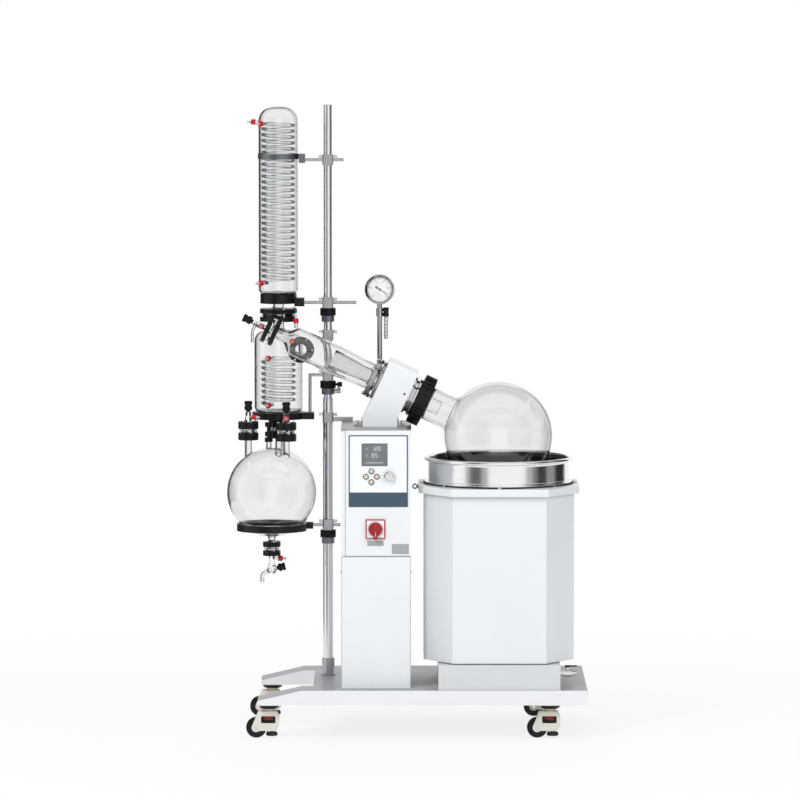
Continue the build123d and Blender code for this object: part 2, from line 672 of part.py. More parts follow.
def evaporating_flask():
    """Round flask with a flanged neck, lying on the tilted axis."""
    center = AXIS.origin + AXIS.z_dir * FLASK_REACH
    ball = Pos(center) * Sphere(FLASK_RADIUS)
    void = Pos(center) * Sphere(FLASK_RADIUS - GLASS_WALL)
    neck_end = FLASK_REACH - math.sqrt(FLASK_RADIUS ** 2 - NECK_RADIUS ** 2) + 5
    neck = disc(AXIS, -2, neck_end, NECK_RADIUS)
    foot = disc(AXIS, -2, NECK_FLANGE_THICK - 2, NECK_FLANGE_RADIUS)
    throat = disc(AXIS, -3, neck_end + 12, NECK_RADIUS - GLASS_WALL)
    return hollow([ball, neck, foot], [void, throat])


def vapour_tube():
    """Glass duct through the sleeve, with a flared end in the arm and a collar at the flask joint."""
    start = -VAPOUR_BACK
    tube = disc(AXIS, start + 40, VAPOUR_FRONT, VAPOUR_RADIUS)
    flare = Pos(0, 0, start + 20) * Cone(15, VAPOUR_RADIUS, 40)
    collar = disc(AXIS, -3, -2, NECK_RADIUS - 2) + disc(AXIS, -12, -3, SLEEVE_BORE - FIT_GAP)
    void = disc(AXIS, start + 40, VAPOUR_FRONT + 1, VAPOUR_RADIUS - GLASS_WALL + 1)
    cone_void = Pos(0, 0, start + 20) * Cone(12, VAPOUR_RADIUS - GLASS_WALL + 1, 40)
    return hollow([tube, AXIS * flare, collar], [void, AXIS * cone_void])


def vapour_arm():
    """Glass arm: a long bulb with a clamped foot, a tapering neck and ports on three sides."""
    foot_end = ARM_START + 8
    outline = arm_outline(0)
    inner = arm_outline(GLASS_WALL)
    body = AXIS * revolve(Plane.XZ * make_face(outline), axis=Axis.Z)
    void = AXIS * revolve(Plane.XZ * make_face(inner), axis=Axis.Z)
    foot = disc(AXIS, ARM_START, foot_end, ARM_SEAT_RADIUS)
    mouth = disc(AXIS, ARM_START - 6, foot_end + 1, ARM_END_RADIUS - GLASS_WALL)
    lip = disc(AXIS, ARM_JOINT, ARM_JOINT + JOINT_FLANGE_THICK, ARM_CLAMP_RADIUS - JOINT_MARGIN)
    neck_void = disc(AXIS, ARM_JOINT - 1, ARM_LEFT + 8, ARM_NECK_RADIUS - GLASS_WALL)
    port = bar((PORT_X, AXIS_Y, PORT_Z), (PORT_X, PORT_Y, PORT_Z), SIDE_PORT_RADIUS)
    port_lip = bar((PORT_X, PORT_Y - JOINT_FLANGE_THICK, PORT_Z), (PORT_X, PORT_Y, PORT_Z),
                   SIDE_CLAMP_RADIUS - JOINT_MARGIN)
    port_void = bar((PORT_X, AXIS_Y, PORT_Z), (PORT_X, PORT_Y + 1, PORT_Z), SIDE_PORT_RADIUS - GLASS_WALL)
    stubs = [bar(start, end, STUB_RADIUS) for start, end in arm_stubs()]
    return hollow([body, foot, lip, port, port_lip] + stubs, [void, mouth, neck_void, port_void])


def arm_outline(inset):
    """Half section of the arm between foot and neck, moved in by a wall."""
    neck = ARM_NECK_RADIUS - inset
    end = ARM_END_RADIUS - inset
    middle = ARM_MID_RADIUS - inset
    right = ARM_START + 4
    shoulder = ARM_LEFT + 40
    tip = ARM_JOINT + 2
    return [Line((0, right), (end, right)),
            Line((end, right), (end, right - 22)),
            Line((end, right - 22), (middle, right - 130)),
            Line((middle, right - 130), (middle - 1, shoulder)),
            Spline((middle - 1, shoulder), (neck, ARM_LEFT + inset), tangents=((0, -1), (0, -1))),
            Line((neck, ARM_LEFT + inset), (neck, tip)),
            Line((neck, tip), (0, tip)),
            Line((0, tip), (0, right))]


def arm_stubs():
    """Hose stubs on the arm: one upwards near the neck and one to the front."""
    top = AXIS.origin + AXIS.z_dir * (ARM_LEFT + 42)
    side = AXIS.origin + AXIS.z_dir * (ARM_LEFT + 30)
    return [(top, top + Vector(0, 0, ARM_MID_RADIUS + 12)),
            (side, side + Vector(0, -ARM_MID_RADIUS - 6, 0))]


def joint_places():
    """Every clamped glass joint: its plane, ring radius, bore and ring thickness."""
    arm = Plane(origin=AXIS.origin + AXIS.z_dir * ARM_JOINT, x_dir=AXIS.x_dir, z_dir=AXIS.z_dir)
    side = Plane(origin=(PORT_X, PORT_Y, PORT_Z), x_dir=(1, 0, 0), z_dir=(0, 1, 0))
    main = Plane(origin=(CONDENSER_X, POLE_Y, MAIN_JOINT_Z))
    places = [(arm, ARM_CLAMP_RADIUS, ARM_NECK_RADIUS, JOINT_RING_THICK),
              (side, SIDE_CLAMP_RADIUS, SIDE_PORT_RADIUS, SIDE_RING_THICK),
              (main, MAIN_CLAMP_RADIUS, NECK_TUBE_RADIUS, JOINT_RING_THICK)]
    for x, y in receiver_necks():
        places.append((Plane(origin=(x, y, RECEIVER_JOINT_Z)), RECEIVER_CLAMP_RADIUS,
                       RECEIVER_NECK_RADIUS, RECEIVER_RING_THICK))
    drain = Plane(origin=(RECEIVER_X, RECEIVER_Y, DRAIN_JOINT_Z))
    places.append((drain, DRAIN_CLAMP_RADIUS, RECEIVER_NECK_RADIUS, DRAIN_RING_THICK))
    return places


def receiver_necks():
    """Centres of the three flanged necks: left valve, front valve, and the condenser's outlet."""
    return [(RECEIVER_X + LEFT_NECK_OUT, RECEIVER_Y),
            (RECEIVER_X + FRONT_NECK_OUT, RECEIVER_Y + FRONT_NECK_Y),
            (CONDENSER_X, POLE_Y)]


def flange_clamps():
    """Pairs of black rings on both sides of each glass joint."""
    clamps = []
    for plane, radius, bore, thick in joint_places():
        for low in (-JOINT_FLANGE_THICK - thick, JOINT_FLANGE_THICK):
            clamps.append(ring(plane, low, low + thick, radius, bore + FIT_GAP))
    return clamps


def clamp_bolts():
    """Bolts between the paired rings, seen across the gap."""
    bolts = []
    for plane, radius, bore, thick in joint_places():
        points = around(JOINT_BOLTS, radius - JOINT_BOLT_INSET, 20)
        bolts += studs(plane, -JOINT_FLANGE_THICK, JOINT_FLANGE_THICK, points, JOINT_BOLT_RADIUS)
        head = JOINT_FLANGE_THICK + thick
        bolts += studs(plane, head, head + JOINT_BOLT_HEAD, points, JOINT_BOLT_RADIUS + 2)
    return bolts


def main_vessel(inset):
    """Outer or inner form of the main condenser's jacket."""
    can = rounded_can(MAIN_RADIUS - inset, MAIN_BOTTOM + inset, MAIN_TOP - inset, 14 - inset, 45 - inset)
    return Pos(CONDENSER_X, POLE_Y, 0) * can


def aux_vessel(inset):
    """Outer or inner form of the auxiliary condenser's jacket, with its side port."""
    can = Pos(CONDENSER_X, POLE_Y, 0) * rounded_can(AUX_RADIUS - inset, AUX_BOTTOM + inset,
                                                   AUX_TOP - inset, 16 - inset, 36 - inset)
    radius = SIDE_PORT_RADIUS - inset
    port = bar((PORT_X, PORT_Y + (-1 if inset else 0), PORT_Z), (PORT_X, POLE_Y, PORT_Z), radius)
    return can + port + Pos(PORT_X, POLE_Y, PORT_Z) * Sphere(radius)


def condenser_ports():
    """Directions and heights of the hose stubs on both condensers, from the wall outwards."""
    main_way = Vector(1, 0, 0).rotate(Axis.Z, MAIN_PORT_TURN)
    aux_way = Vector(1, 0, 0).rotate(Axis.Z, AUX_PORT_TURN)
    left = Vector(-1, 0, 0)
    top = MAIN_COIL_BOTTOM + MAIN_COIL_TURNS * COIL_PITCH
    aux_top = AUX_COIL_BOTTOM + AUX_COIL_TURNS * COIL_PITCH
    main = [(top, main_way), (MAIN_COIL_BOTTOM, main_way), (top + 4, left)]
    aux = [(aux_top, aux_way), (AUX_COIL_BOTTOM, aux_way)]
    return main, aux


def wall_stubs(ports, radius):
    """Start and end of each hose stub on one condenser's wall."""
    stubs = []
    for height, way in ports:
        center = Vector(CONDENSER_X, POLE_Y, height)
        stubs.append((center + way * (radius - GLASS_WALL / 2), center + way * (radius + 9), way))
    return stubs


def condenser_jacket():
    """Main condenser's jacket with a domed top, a neck and its flange."""
    main, aux = condenser_ports()
    stubs = [bar(a, b, STUB_RADIUS) for a, b, way in wall_stubs(main, MAIN_RADIUS)]
    neck = post(CONDENSER_X, POLE_Y, MAIN_JOINT_Z, MAIN_BOTTOM + 2, NECK_TUBE_RADIUS)
    lip = post(CONDENSER_X, POLE_Y, MAIN_JOINT_Z, MAIN_JOINT_Z + JOINT_FLANGE_THICK,
               MAIN_CLAMP_RADIUS - JOINT_MARGIN)
    throat = post(CONDENSER_X, POLE_Y, MAIN_JOINT_Z - 1, MAIN_BOTTOM + 10, NECK_TUBE_RADIUS - GLASS_WALL)
    return hollow([main_vessel(0), neck, lip] + stubs, [main_vessel(GLASS_WALL), throat])


def aux_jacket():
    """Auxiliary condenser's jacket: shoulders, top neck, side port and outlet."""
    main, aux = condenser_ports()
    stubs = [bar(a, b, STUB_RADIUS) for a, b, way in wall_stubs(aux, AUX_RADIUS)]
    neck = post(CONDENSER_X, POLE_Y, AUX_TOP - 2, MAIN_JOINT_Z, NECK_TUBE_RADIUS)
    lip = post(CONDENSER_X, POLE_Y, MAIN_JOINT_Z - JOINT_FLANGE_THICK, MAIN_JOINT_Z,
               MAIN_CLAMP_RADIUS - JOINT_MARGIN)
    throat = post(CONDENSER_X, POLE_Y, AUX_TOP - 10, MAIN_JOINT_Z + 1, NECK_TUBE_RADIUS - GLASS_WALL)
    outlet = post(CONDENSER_X, POLE_Y, RECEIVER_JOINT_Z, AUX_BOTTOM + 2, RECEIVER_NECK_RADIUS)
    outlet_lip = post(CONDENSER_X, POLE_Y, RECEIVER_JOINT_Z, RECEIVER_JOINT_Z + JOINT_FLANGE_THICK,
                      RECEIVER_CLAMP_RADIUS - JOINT_MARGIN)
    outlet_void = post(CONDENSER_X, POLE_Y, RECEIVER_JOINT_Z - 1, AUX_BOTTOM + 8,
                       RECEIVER_NECK_RADIUS - GLASS_WALL)
    side_lip = bar((PORT_X, PORT_Y, PORT_Z), (PORT_X, PORT_Y + JOINT_FLANGE_THICK, PORT_Z),
                   SIDE_CLAMP_RADIUS - JOINT_MARGIN)
    outer = [aux_vessel(0), neck, lip, outlet, outlet_lip, side_lip] + stubs
    return hollow(outer, [aux_vessel(GLASS_WALL), throat, outlet_void])


def cooling_coil(bottom, turns, radius, wall_radius, turn):
    """Glass helix with a straight lead to the wall at both ends."""
    path = Helix(pitch=COIL_PITCH, height=turns * COIL_PITCH, radius=radius)
    section = (path ^ 0) * Rectangle(1.7 * COIL_TUBE_RADIUS, 1.7 * COIL_TUBE_RADIUS)
    coil = sweep(section, path=path, is_frenet=True)
    reach = wall_radius - GLASS_WALL - RUNNING_GAP
    for height in (0, turns * COIL_PITCH):
        lead = box(radius - 2, reach, -4, 4, height - 4, height + 4)
        coil += lead
    return Pos(CONDENSER_X, POLE_Y, bottom) * Rot(0, 0, turn) * coil


def receiver_flask():
    """Round receiving flask with three flanged necks, a small neck and a drain."""
    center = Vector(RECEIVER_X, RECEIVER_Y, RECEIVER_Z)
    outer = [Pos(center) * Sphere(RECEIVER_RADIUS)]
    inner = [Pos(center) * Sphere(RECEIVER_RADIUS - GLASS_WALL)]
    inside = RECEIVER_Z + RECEIVER_RADIUS * 0.8
    lip_radius = RECEIVER_CLAMP_RADIUS - JOINT_MARGIN
    for x, y in receiver_necks():
        outer.append(post(x, y, inside, RECEIVER_JOINT_Z, RECEIVER_NECK_RADIUS))
        outer.append(post(x, y, RECEIVER_JOINT_Z - JOINT_FLANGE_THICK, RECEIVER_JOINT_Z, lip_radius))
        inner.append(post(x, y, inside - 8, RECEIVER_JOINT_Z + 1, RECEIVER_NECK_RADIUS - GLASS_WALL))
    x, y = small_neck()
    outer.append(post(x, y, inside, SMALL_NECK_TOP, RECEIVER_NECK_RADIUS - 3))
    inner.append(post(x, y, inside, SMALL_NECK_TOP + 1, RECEIVER_NECK_RADIUS - GLASS_WALL - 2))
    low = RECEIVER_Z - RECEIVER_RADIUS * 0.96
    outer.append(post(center.X, center.Y, DRAIN_JOINT_Z, low, RECEIVER_NECK_RADIUS))
    outer.append(post(center.X, center.Y, DRAIN_JOINT_Z, DRAIN_JOINT_Z + JOINT_FLANGE_THICK,
                      DRAIN_CLAMP_RADIUS - JOINT_MARGIN))
    inner.append(post(center.X, center.Y, DRAIN_JOINT_Z - 1, low + 4, RECEIVER_NECK_RADIUS - GLASS_WALL))
    return hollow(outer, inner)


def small_neck():
    """Centre of the small capped neck."""
    return RECEIVER_X + SMALL_NECK_OUT, RECEIVER_Y + SMALL_NECK_Y


def valve_stations():
    """Base, direction and body length of the three straight glass valves."""
    left, front, outlet = receiver_necks()
    up = Vector(0, 0, 1)
    feed_base = AXIS.origin + AXIS.z_dir * ARM_JOINT
    return [(Vector(left[0], left[1], RECEIVER_JOINT_Z), up, VALVE_RISE),
            (Vector(front[0], front[1], RECEIVER_JOINT_Z), up, VALVE_RISE),
            (feed_base, AXIS.z_dir * -1, FEED_LENGTH)]


def drain_valve_axis():
    """Centre of the drain valve and the direction of its knob."""
    center = Vector(RECEIVER_X, RECEIVER_Y, DRAIN_JOINT_Z - 66)
    tilt = math.radians(14)
    return center, Vector(math.cos(tilt), 0, math.sin(tilt))


def valve_bodies():
    """Clear glass of the valves: stems, drain elbow and feed tube, with the hose nipples."""
    glass = []
    for base, way, length in valve_stations():
        lip = bar(base, base + way * JOINT_FLANGE_THICK, RECEIVER_CLAMP_RADIUS - JOINT_MARGIN)
        glass.append(lip + bar(base, base + way * length, VALVE_RADIUS))
    center, way = drain_valve_axis()
    top = Vector(center.X, center.Y, DRAIN_JOINT_Z)
    body = bar(center, top, VALVE_RADIUS) + Pos(center) * Sphere(15)
    body += bar(top + Vector(0, 0, -JOINT_FLANGE_THICK), top, DRAIN_CLAMP_RADIUS - JOINT_MARGIN)
    body += bar(center, center + way * 16, 11)
    spout = center + Vector(-30, 0, -18)
    body += bar(center, spout, 7) + Pos(spout) * Sphere(7) + bar(spout, spout + Vector(0, 0, -22), 7)
    glass.append(body)
    feed_start = AXIS.origin + AXIS.z_dir * (ARM_JOINT - FEED_LENGTH + 10)
    elbow = feed_start - AXIS.y_dir * 30
    tube = bar(feed_start, elbow, 5) + Pos(elbow) * Sphere(5) + bar(elbow, elbow + Vector(0, 0, -34), 5)
    glass[2] = glass[2] + tube
    for start, way in cap_places():
        tip = start + way * CAP_LENGTH
        glass.append(bar(tip, tip + way * NIPPLE_LENGTH, NIPPLE_RADIUS))
    for index, (start, way) in enumerate(valve_cap_stubs()):
        glass[index] = glass[index] + bar(start, start + way * 20, STUB_RADIUS - 1)
    return glass


def valve_cap_stubs():
    """Side stubs on the valves that carry a red cap, in the order of the valve bodies."""
    left, front, outlet = receiver_necks()
    side = Vector(0.77, -0.64, 0)
    feed = AXIS.origin + AXIS.z_dir * (ARM_JOINT - 34)
    center, way = drain_valve_axis()
    return [(Vector(left[0], left[1], RECEIVER_JOINT_Z + 44), side),
            (Vector(front[0], front[1], RECEIVER_JOINT_Z + 44), Vector(0, -1, 0)),
            (feed, Vector(0, -1, 0)),
            (Vector(center.X, center.Y, center.Z + 35), Vector(1, 0, 0))]


def cap_places():
    """Start and direction of every red cap."""
    main, aux = condenser_ports()
    places = [(b, way) for a, b, way in wall_stubs(main, MAIN_RADIUS) + wall_stubs(aux, AUX_RADIUS)]
    places += [(end, (end - start).normalized()) for start, end in arm_stubs()]
    places += [(start + way * 20, way) for start, way in valve_cap_stubs()]
    return places


def hose_caps():
    """Red screw caps on the stubs."""
    return [bar(start, start + way * CAP_LENGTH, CAP_RADIUS) for start, way in cap_places()]


def turned_knob(base, way, radius, length):
    """Grooved valve knob with a thin neck against the valve body."""
    knob = bar(base + way * RUNNING_GAP, base + way * 6, radius * 0.55)
    knob += bar(base + way * 6, base + way * length, radius)
    groove_start = base + way * (length * 0.55)
    plane = Plane(origin=groove_start, z_dir=way)
    return knob - ring(plane, 0, 4, radius + 1, radius - 2.5)


def knob_nodes():
    """The four valve knobs, each with its place and direction."""
    knobs = {}
    names = ("inlet_knob", "vent_knob", "feed_knob")
    for name, (base, way, length) in zip(names, valve_stations()):
        knobs[name] = turned_knob(base + way * length, way, VALVE_KNOB_RADIUS, VALVE_KNOB_LENGTH)
    center, way = drain_valve_axis()
    knobs["drain_knob"] = turned_knob(center + way * 16, way, VALVE_KNOB_RADIUS, 28)
    return knobs


def main_pole():
    """Stepped stainless pole."""
    lower = post(POLE_X, POLE_Y, DECK_Z, POLE_STEP, POLE_LOWER_RADIUS)
    return lower + post(POLE_X, POLE_Y, POLE_STEP, POLE_TOP, POLE_RADIUS)


def pole_radius_at(z):
    """The pole is thinner above its step."""
    return POLE_RADIUS if z > POLE_STEP else POLE_LOWER_RADIUS


def rod_clamps():
    """Heights of the cross clamps and whether each grips a rod."""
    return [(STRAP_ROD_Z, True), (MAIN_ROD_Z, True), (ARM_CLAMP_Z, False), (ELBOW_Z, True),
            (TIE_Z, False), (RECEIVER_ROD_Z, True)]


def pole_clamps():
    """Cast cross clamps on the pole and its foot on the deck."""
    clamps = []
    half = CLAMP_SIZE / 2
    for z, grips in rod_clamps():
        front = POLE_Y - ROD_OFFSET - 10 if grips else POLE_Y - half
        side = half - 1
        rise = half / 1.1
        block = box(POLE_X - side, POLE_X + side, front, POLE_Y + half, z - rise, z + rise)
        block = fillet(block.edges().filter_by(Axis.Z), 5)
        block -= post(POLE_X, POLE_Y, z - half - 1, z + half + 1, pole_radius_at(z) + FIT_GAP)
        if grips:
            y = POLE_Y - ROD_OFFSET
            block -= bar((POLE_X - 50, y, z), (POLE_X + 50, y, z), ROD_RADIUS + FIT_GAP)
        clamps.append(block)
    foot = post(POLE_X, POLE_Y, DECK_Z, DECK_Z + 6, FOOT_RADIUS + 4)
    foot += post(POLE_X, POLE_Y, DECK_Z + 6, DECK_Z + FOOT_HEIGHT * 0.5, FOOT_RADIUS - 1)
    foot += post(POLE_X, POLE_Y, DECK_Z + FOOT_HEIGHT * 0.5, DECK_Z + FOOT_HEIGHT, FOOT_RADIUS + 1)
    foot -= post(POLE_X, POLE_Y, DECK_Z - 1, DECK_Z + FOOT_HEIGHT + 1, POLE_LOWER_RADIUS + FIT_GAP)
    tie = box(POLE_X + half - 1, CABINET_LEFT + 34, POLE_Y - half, CABINET_BACK, TOP_Z, TOP_Z + 13)
    return clamps + [foot, tie]


def pole_collars():
    """Black plastic collars on the pole; the middle one has a thumb screw."""
    collars = []
    for z in COLLARS:
        bore = pole_radius_at(z) + FIT_GAP
        collar = post(POLE_X, POLE_Y, z, z + COLLAR_HEIGHT, COLLAR_RADIUS)
        collar = collar - post(POLE_X, POLE_Y, z - 1, z + COLLAR_HEIGHT + 1, bore)
        collars.append(collar)
    z = COLLARS[1] + COLLAR_HEIGHT / 2
    start = POLE_X + COLLAR_RADIUS - 2
    collars[1] = collars[1] + bar((start, POLE_Y, z), (start + 22, POLE_Y, z), 8)
    return collars


def steel_clamps():
    """Bright sleeves under the collars and the strap round the main condenser."""
    sleeves = []
    for z in COLLARS:
        low = z - SLEEVE_HEIGHT
        bore = pole_radius_at(low) + FIT_GAP
        sleeve = post(POLE_X, POLE_Y, low, z, COLLAR_RADIUS - 5)
        sleeve = sleeve - post(POLE_X, POLE_Y, low - 1, z + 1, bore)
        sleeves.append(sleeve)
    low = STRAP_Z - STRAP_WIDTH / 2
    high = STRAP_Z + STRAP_WIDTH / 2
    outer = MAIN_RADIUS + FIT_GAP + STRAP_THICK
    strap = post(CONDENSER_X, POLE_Y, low, high, outer)
    rod_y = POLE_Y - ROD_OFFSET
    ear_end = STRAP_EAR_X
    strap += box(CONDENSER_X + 40, ear_end, rod_y + 8, rod_y + 14, low, high)
    strap += box(CONDENSER_X + 50, ear_end, rod_y + 17, rod_y + 20, low, high)
    strap -= post(CONDENSER_X, POLE_Y, low - 1, high + 1, MAIN_RADIUS + FIT_GAP)
    block = box(ear_end - 20, ear_end, rod_y - 8, rod_y + 8, STRAP_ROD_Z - 10, high)
    block += box(ear_end - 20, ear_end, rod_y + 8, rod_y + 20, low, high)
    block -= bar((ear_end - 30, rod_y, STRAP_ROD_Z), (ear_end + 5, rod_y, STRAP_ROD_Z), ROD_RADIUS + FIT_GAP)
    return sleeves + [strap + block]


def support_rings():
    """Black rings under both condensers and the receiving flask, each with its rod block."""
    rod_y = POLE_Y - ROD_OFFSET
    main = Plane(origin=(CONDENSER_X, POLE_Y, MAIN_BOTTOM))
    top_ring = ring(main, -30, 0, MAIN_RADIUS - 5, 40)
    top_ring += box(CONDENSER_X + 50, MAIN_BLOCK_X, rod_y - 10, POLE_Y + 12, MAIN_ROD_Z - 12, MAIN_ROD_Z + 14)
    top_ring -= bar((MAIN_BLOCK_X - 22, rod_y, MAIN_ROD_Z), (MAIN_BLOCK_X + 1, rod_y, MAIN_ROD_Z),
                    ROD_RADIUS + FIT_GAP)
    aux = Plane(origin=(CONDENSER_X, POLE_Y, AUX_BOTTOM))
    low_ring = ring(aux, -21, 0, AUX_RADIUS + 7, 50)
    low_ring += box(CONDENSER_X + 75, ELBOW_ROD_X + 13, rod_y - 12, POLE_Y + 14, AUX_BOTTOM - 21, AUX_BOTTOM)
    low_ring -= post(ELBOW_ROD_X, rod_y, AUX_BOTTOM - 15, AUX_BOTTOM + 1, ROD_RADIUS + FIT_GAP)
    seat = RECEIVER_Z - math.sqrt(RECEIVER_RADIUS ** 2 - RECEIVER_RING_BORE ** 2) - FIT_GAP
    flask = Plane(origin=(RECEIVER_X, RECEIVER_Y, seat))
    flask_ring = ring(flask, -RECEIVER_RING_HEIGHT, 0, RECEIVER_RING_RADIUS, RECEIVER_RING_BORE)
    start = RECEIVER_X + RECEIVER_RING_RADIUS - 28
    flask_ring += box(start, start + 48, rod_y - 12, rod_y + 12, RECEIVER_ROD_Z - 12, seat)
    flask_ring -= bar((start + 20, rod_y, RECEIVER_ROD_Z), (start + 50, rod_y, RECEIVER_ROD_Z),
                      ROD_RADIUS + FIT_GAP)
    flask_ring -= disc(flask, -RECEIVER_RING_HEIGHT - 9, 40, RECEIVER_RING_BORE)
    return [top_ring, low_ring, flask_ring]


def support_rods():
    """Steel rods from the pole to the rings, the bent rod, and the gauge's post."""
    y = POLE_Y - ROD_OFFSET
    start = RECEIVER_X + RECEIVER_RING_RADIUS - 7
    strap = bar((STRAP_EAR_X - 20, y, STRAP_ROD_Z), (POLE_X + 50, y, STRAP_ROD_Z), ROD_RADIUS)
    main = bar((MAIN_BLOCK_X - 20, y, MAIN_ROD_Z), (POLE_X + 90, y, MAIN_ROD_Z), ROD_RADIUS)
    bent = bar((ELBOW_ROD_X, y, ELBOW_Z), (POLE_X + 24, y, ELBOW_Z), ROD_RADIUS)
    bent += Pos(ELBOW_ROD_X, y, ELBOW_Z) * Sphere(ROD_RADIUS)
    bent += post(ELBOW_ROD_X, y, AUX_BOTTOM - 14, ELBOW_Z, ROD_RADIUS)
    flask = bar((start + 1, y, RECEIVER_ROD_Z), (POLE_X + 40, y, RECEIVER_ROD_Z), ROD_RADIUS)
    gauge = post(GAUGE_X, GAUGE_Y, TOP_Z, GAUGE_Z - GAUGE_RADIUS + 2, POST_RADIUS)
    gauge += post(GAUGE_X, GAUGE_Y, TOP_Z, TOP_Z + 8, POST_RADIUS + 8)
    gauge += post(GAUGE_X, GAUGE_Y, GAUGE_Z - GAUGE_RADIUS - 38, GAUGE_Z - GAUGE_RADIUS - 12, POST_RADIUS + 3)
    gauge += bar((GAUGE_X, GAUGE_Y, HOSE_VALVE_Z), (GAUGE_X + HOSE_VALVE_OUT - 9, GAUGE_Y, HOSE_VALVE_Z), 5)
    case_axis = (GAUGE_X, GAUGE_Y - GAUGE_THICK, GAUGE_Z)
    gauge -= bar(case_axis, (GAUGE_X, GAUGE_Y + GAUGE_THICK, GAUGE_Z), GAUGE_RADIUS)
    return [strap, main, bent, flask, gauge]


def clamp_lever():
    """Tommy lever on the bright sleeve of the middle collar."""
    z = COLLARS[1] - SLEEVE_HEIGHT / 2
    start = POLE_X + COLLAR_RADIUS - 5 + RUNNING_GAP
    hub = bar((start, POLE_Y, z), (start + 20, POLE_Y, z), 7)
    tip = (start + 14, POLE_Y - LEVER_LENGTH, z + 10)
    return hub + bar((start + 13, POLE_Y, z), tip, 4) + Pos(*tip) * Sphere(6)


def gauge_case():
    """Round case with a bezel and a pocket for the dial."""
    front = GAUGE_Y - GAUGE_THICK / 2
    back = GAUGE_Y + GAUGE_THICK / 2
    case = bar((GAUGE_X, front, GAUGE_Z), (GAUGE_X, back, GAUGE_Z), GAUGE_RADIUS)
    case = fillet(case.edges().sort_by(Axis.Y)[-1], 6)
    return case - bar((GAUGE_X, front - 1, GAUGE_Z), (GAUGE_X, front + DIAL_DEPTH, GAUGE_Z),
                      GAUGE_RADIUS - BEZEL_WIDTH)


def gauge_dial():
    """White face of the gauge with a hole for the pointer's pin."""
    deep = GAUGE_Y - GAUGE_THICK / 2 + DIAL_DEPTH
    face = bar((GAUGE_X, deep - 2, GAUGE_Z), (GAUGE_X, deep, GAUGE_Z), GAUGE_RADIUS - BEZEL_WIDTH)
    return face - bar((GAUGE_X, deep - 3, GAUGE_Z), (GAUGE_X, deep + 1, GAUGE_Z), 2 + FIT_GAP)


def gauge_pointer():
    """Needle with a tail, on its pin through the dial."""
    y = GAUGE_Y - GAUGE_THICK / 2 + DIAL_DEPTH - 2
    needle = Pos(POINTER_LENGTH / 2 - 8, 0, 0) * Box(POINTER_LENGTH + 6, 1.2, 2.2)
    needle = Pos(GAUGE_X, y - 1.2, GAUGE_Z) * (Rot(0, 32, 0) * needle)
    hub = bar((GAUGE_X, y - 2.4, GAUGE_Z), (GAUGE_X, y - 0.4, GAUGE_Z), 4)
    pin = bar((GAUGE_X, y - 1, GAUGE_Z), (GAUGE_X, y + 1.8, GAUGE_Z), 2)
    return needle + hub + pin


def gauge_valve():
    """Black valve block beside the post and the ribbed hose nozzle under it."""
    x = GAUGE_X + HOSE_VALVE_OUT
    block = post(x, GAUGE_Y, HOSE_VALVE_Z - 14, HOSE_VALVE_Z + 15, 9)
    nozzle = post(x, GAUGE_Y, HOSE_VALVE_Z - 84, HOSE_VALVE_Z - 14, 6)
    for i in range(6):
        low = HOSE_VALVE_Z - 80 + i * 11
        nozzle += post(x, GAUGE_Y, low, low + 6, 8)
    return block + nozzle


def octagon(inset, z0, z1):
    """Bath outline: a rectangle with its corners cut, moved in and extruded."""
    half_x = BATH_WIDTH / 2 - inset
    half_y = BATH_DEPTH / 2 - inset
    cut_x = BATH_CUT_X - inset * 0.6
    cut_y = BATH_CUT_Y - inset * 0.6
    corners = [(half_x, half_y - cut_y), (half_x - cut_x, half_y)]
    points = corners + [(-x, y) for x, y in reversed(corners)]
    points += [(-x, -y) for x, y in corners] + [(x, -y) for x, y in reversed(corners)]
    body = extrude(make_face(Polyline(*points, close=True)), z1 - z0)
    return Pos(BATH_X, BATH_Y, z0) * body


def bath_shell():
    """Folded eight-sided jacket, open below so that it rises round the pedestal."""
    top = BATH_PLATE_Z + BATH_PLATE_THICK - COVER_SHEET
    outer = octagon(BATH_INSET, BATH_BOTTOM, top)
    return outer - octagon(BATH_INSET + BATH_WALL, BATH_BOTTOM - 1, top + 1)


def bath_plate():
    """Eight-sided cover with a round hole for the pan and a latch eye on its left edge."""
    top = BATH_PLATE_Z + BATH_PLATE_THICK
    plate = octagon(0, BATH_PLATE_Z, top)
    plate -= octagon(BATH_WALL, BATH_PLATE_Z - 1, top - COVER_SHEET)
    plate -= post(BATH_X, BATH_Y, BATH_PLATE_Z - 1, top + 1, PAN_RADIUS + 1)
    left = BATH_X - BATH_WIDTH / 2
    middle = BATH_PLATE_Z + BATH_PLATE_THICK / 2
    plate += bar((left, BATH_Y, middle), (left - 5, BATH_Y, middle), 6)
    eye = Pos(left - 11, BATH_Y, middle) * (Rot(90, 0, 0) * Torus(6, 2))
    return plate + eye


def bath_seal():
    """Rubber ring between the pan's bead and the cover."""
    top = BATH_PLATE_Z + BATH_PLATE_THICK
    return post(BATH_X, BATH_Y, top, top + SEAL_THICK, SEAL_RADIUS) \
        - post(BATH_X, BATH_Y, top - 1, top + SEAL_THICK + 1, PAN_RADIUS + FIT_GAP)


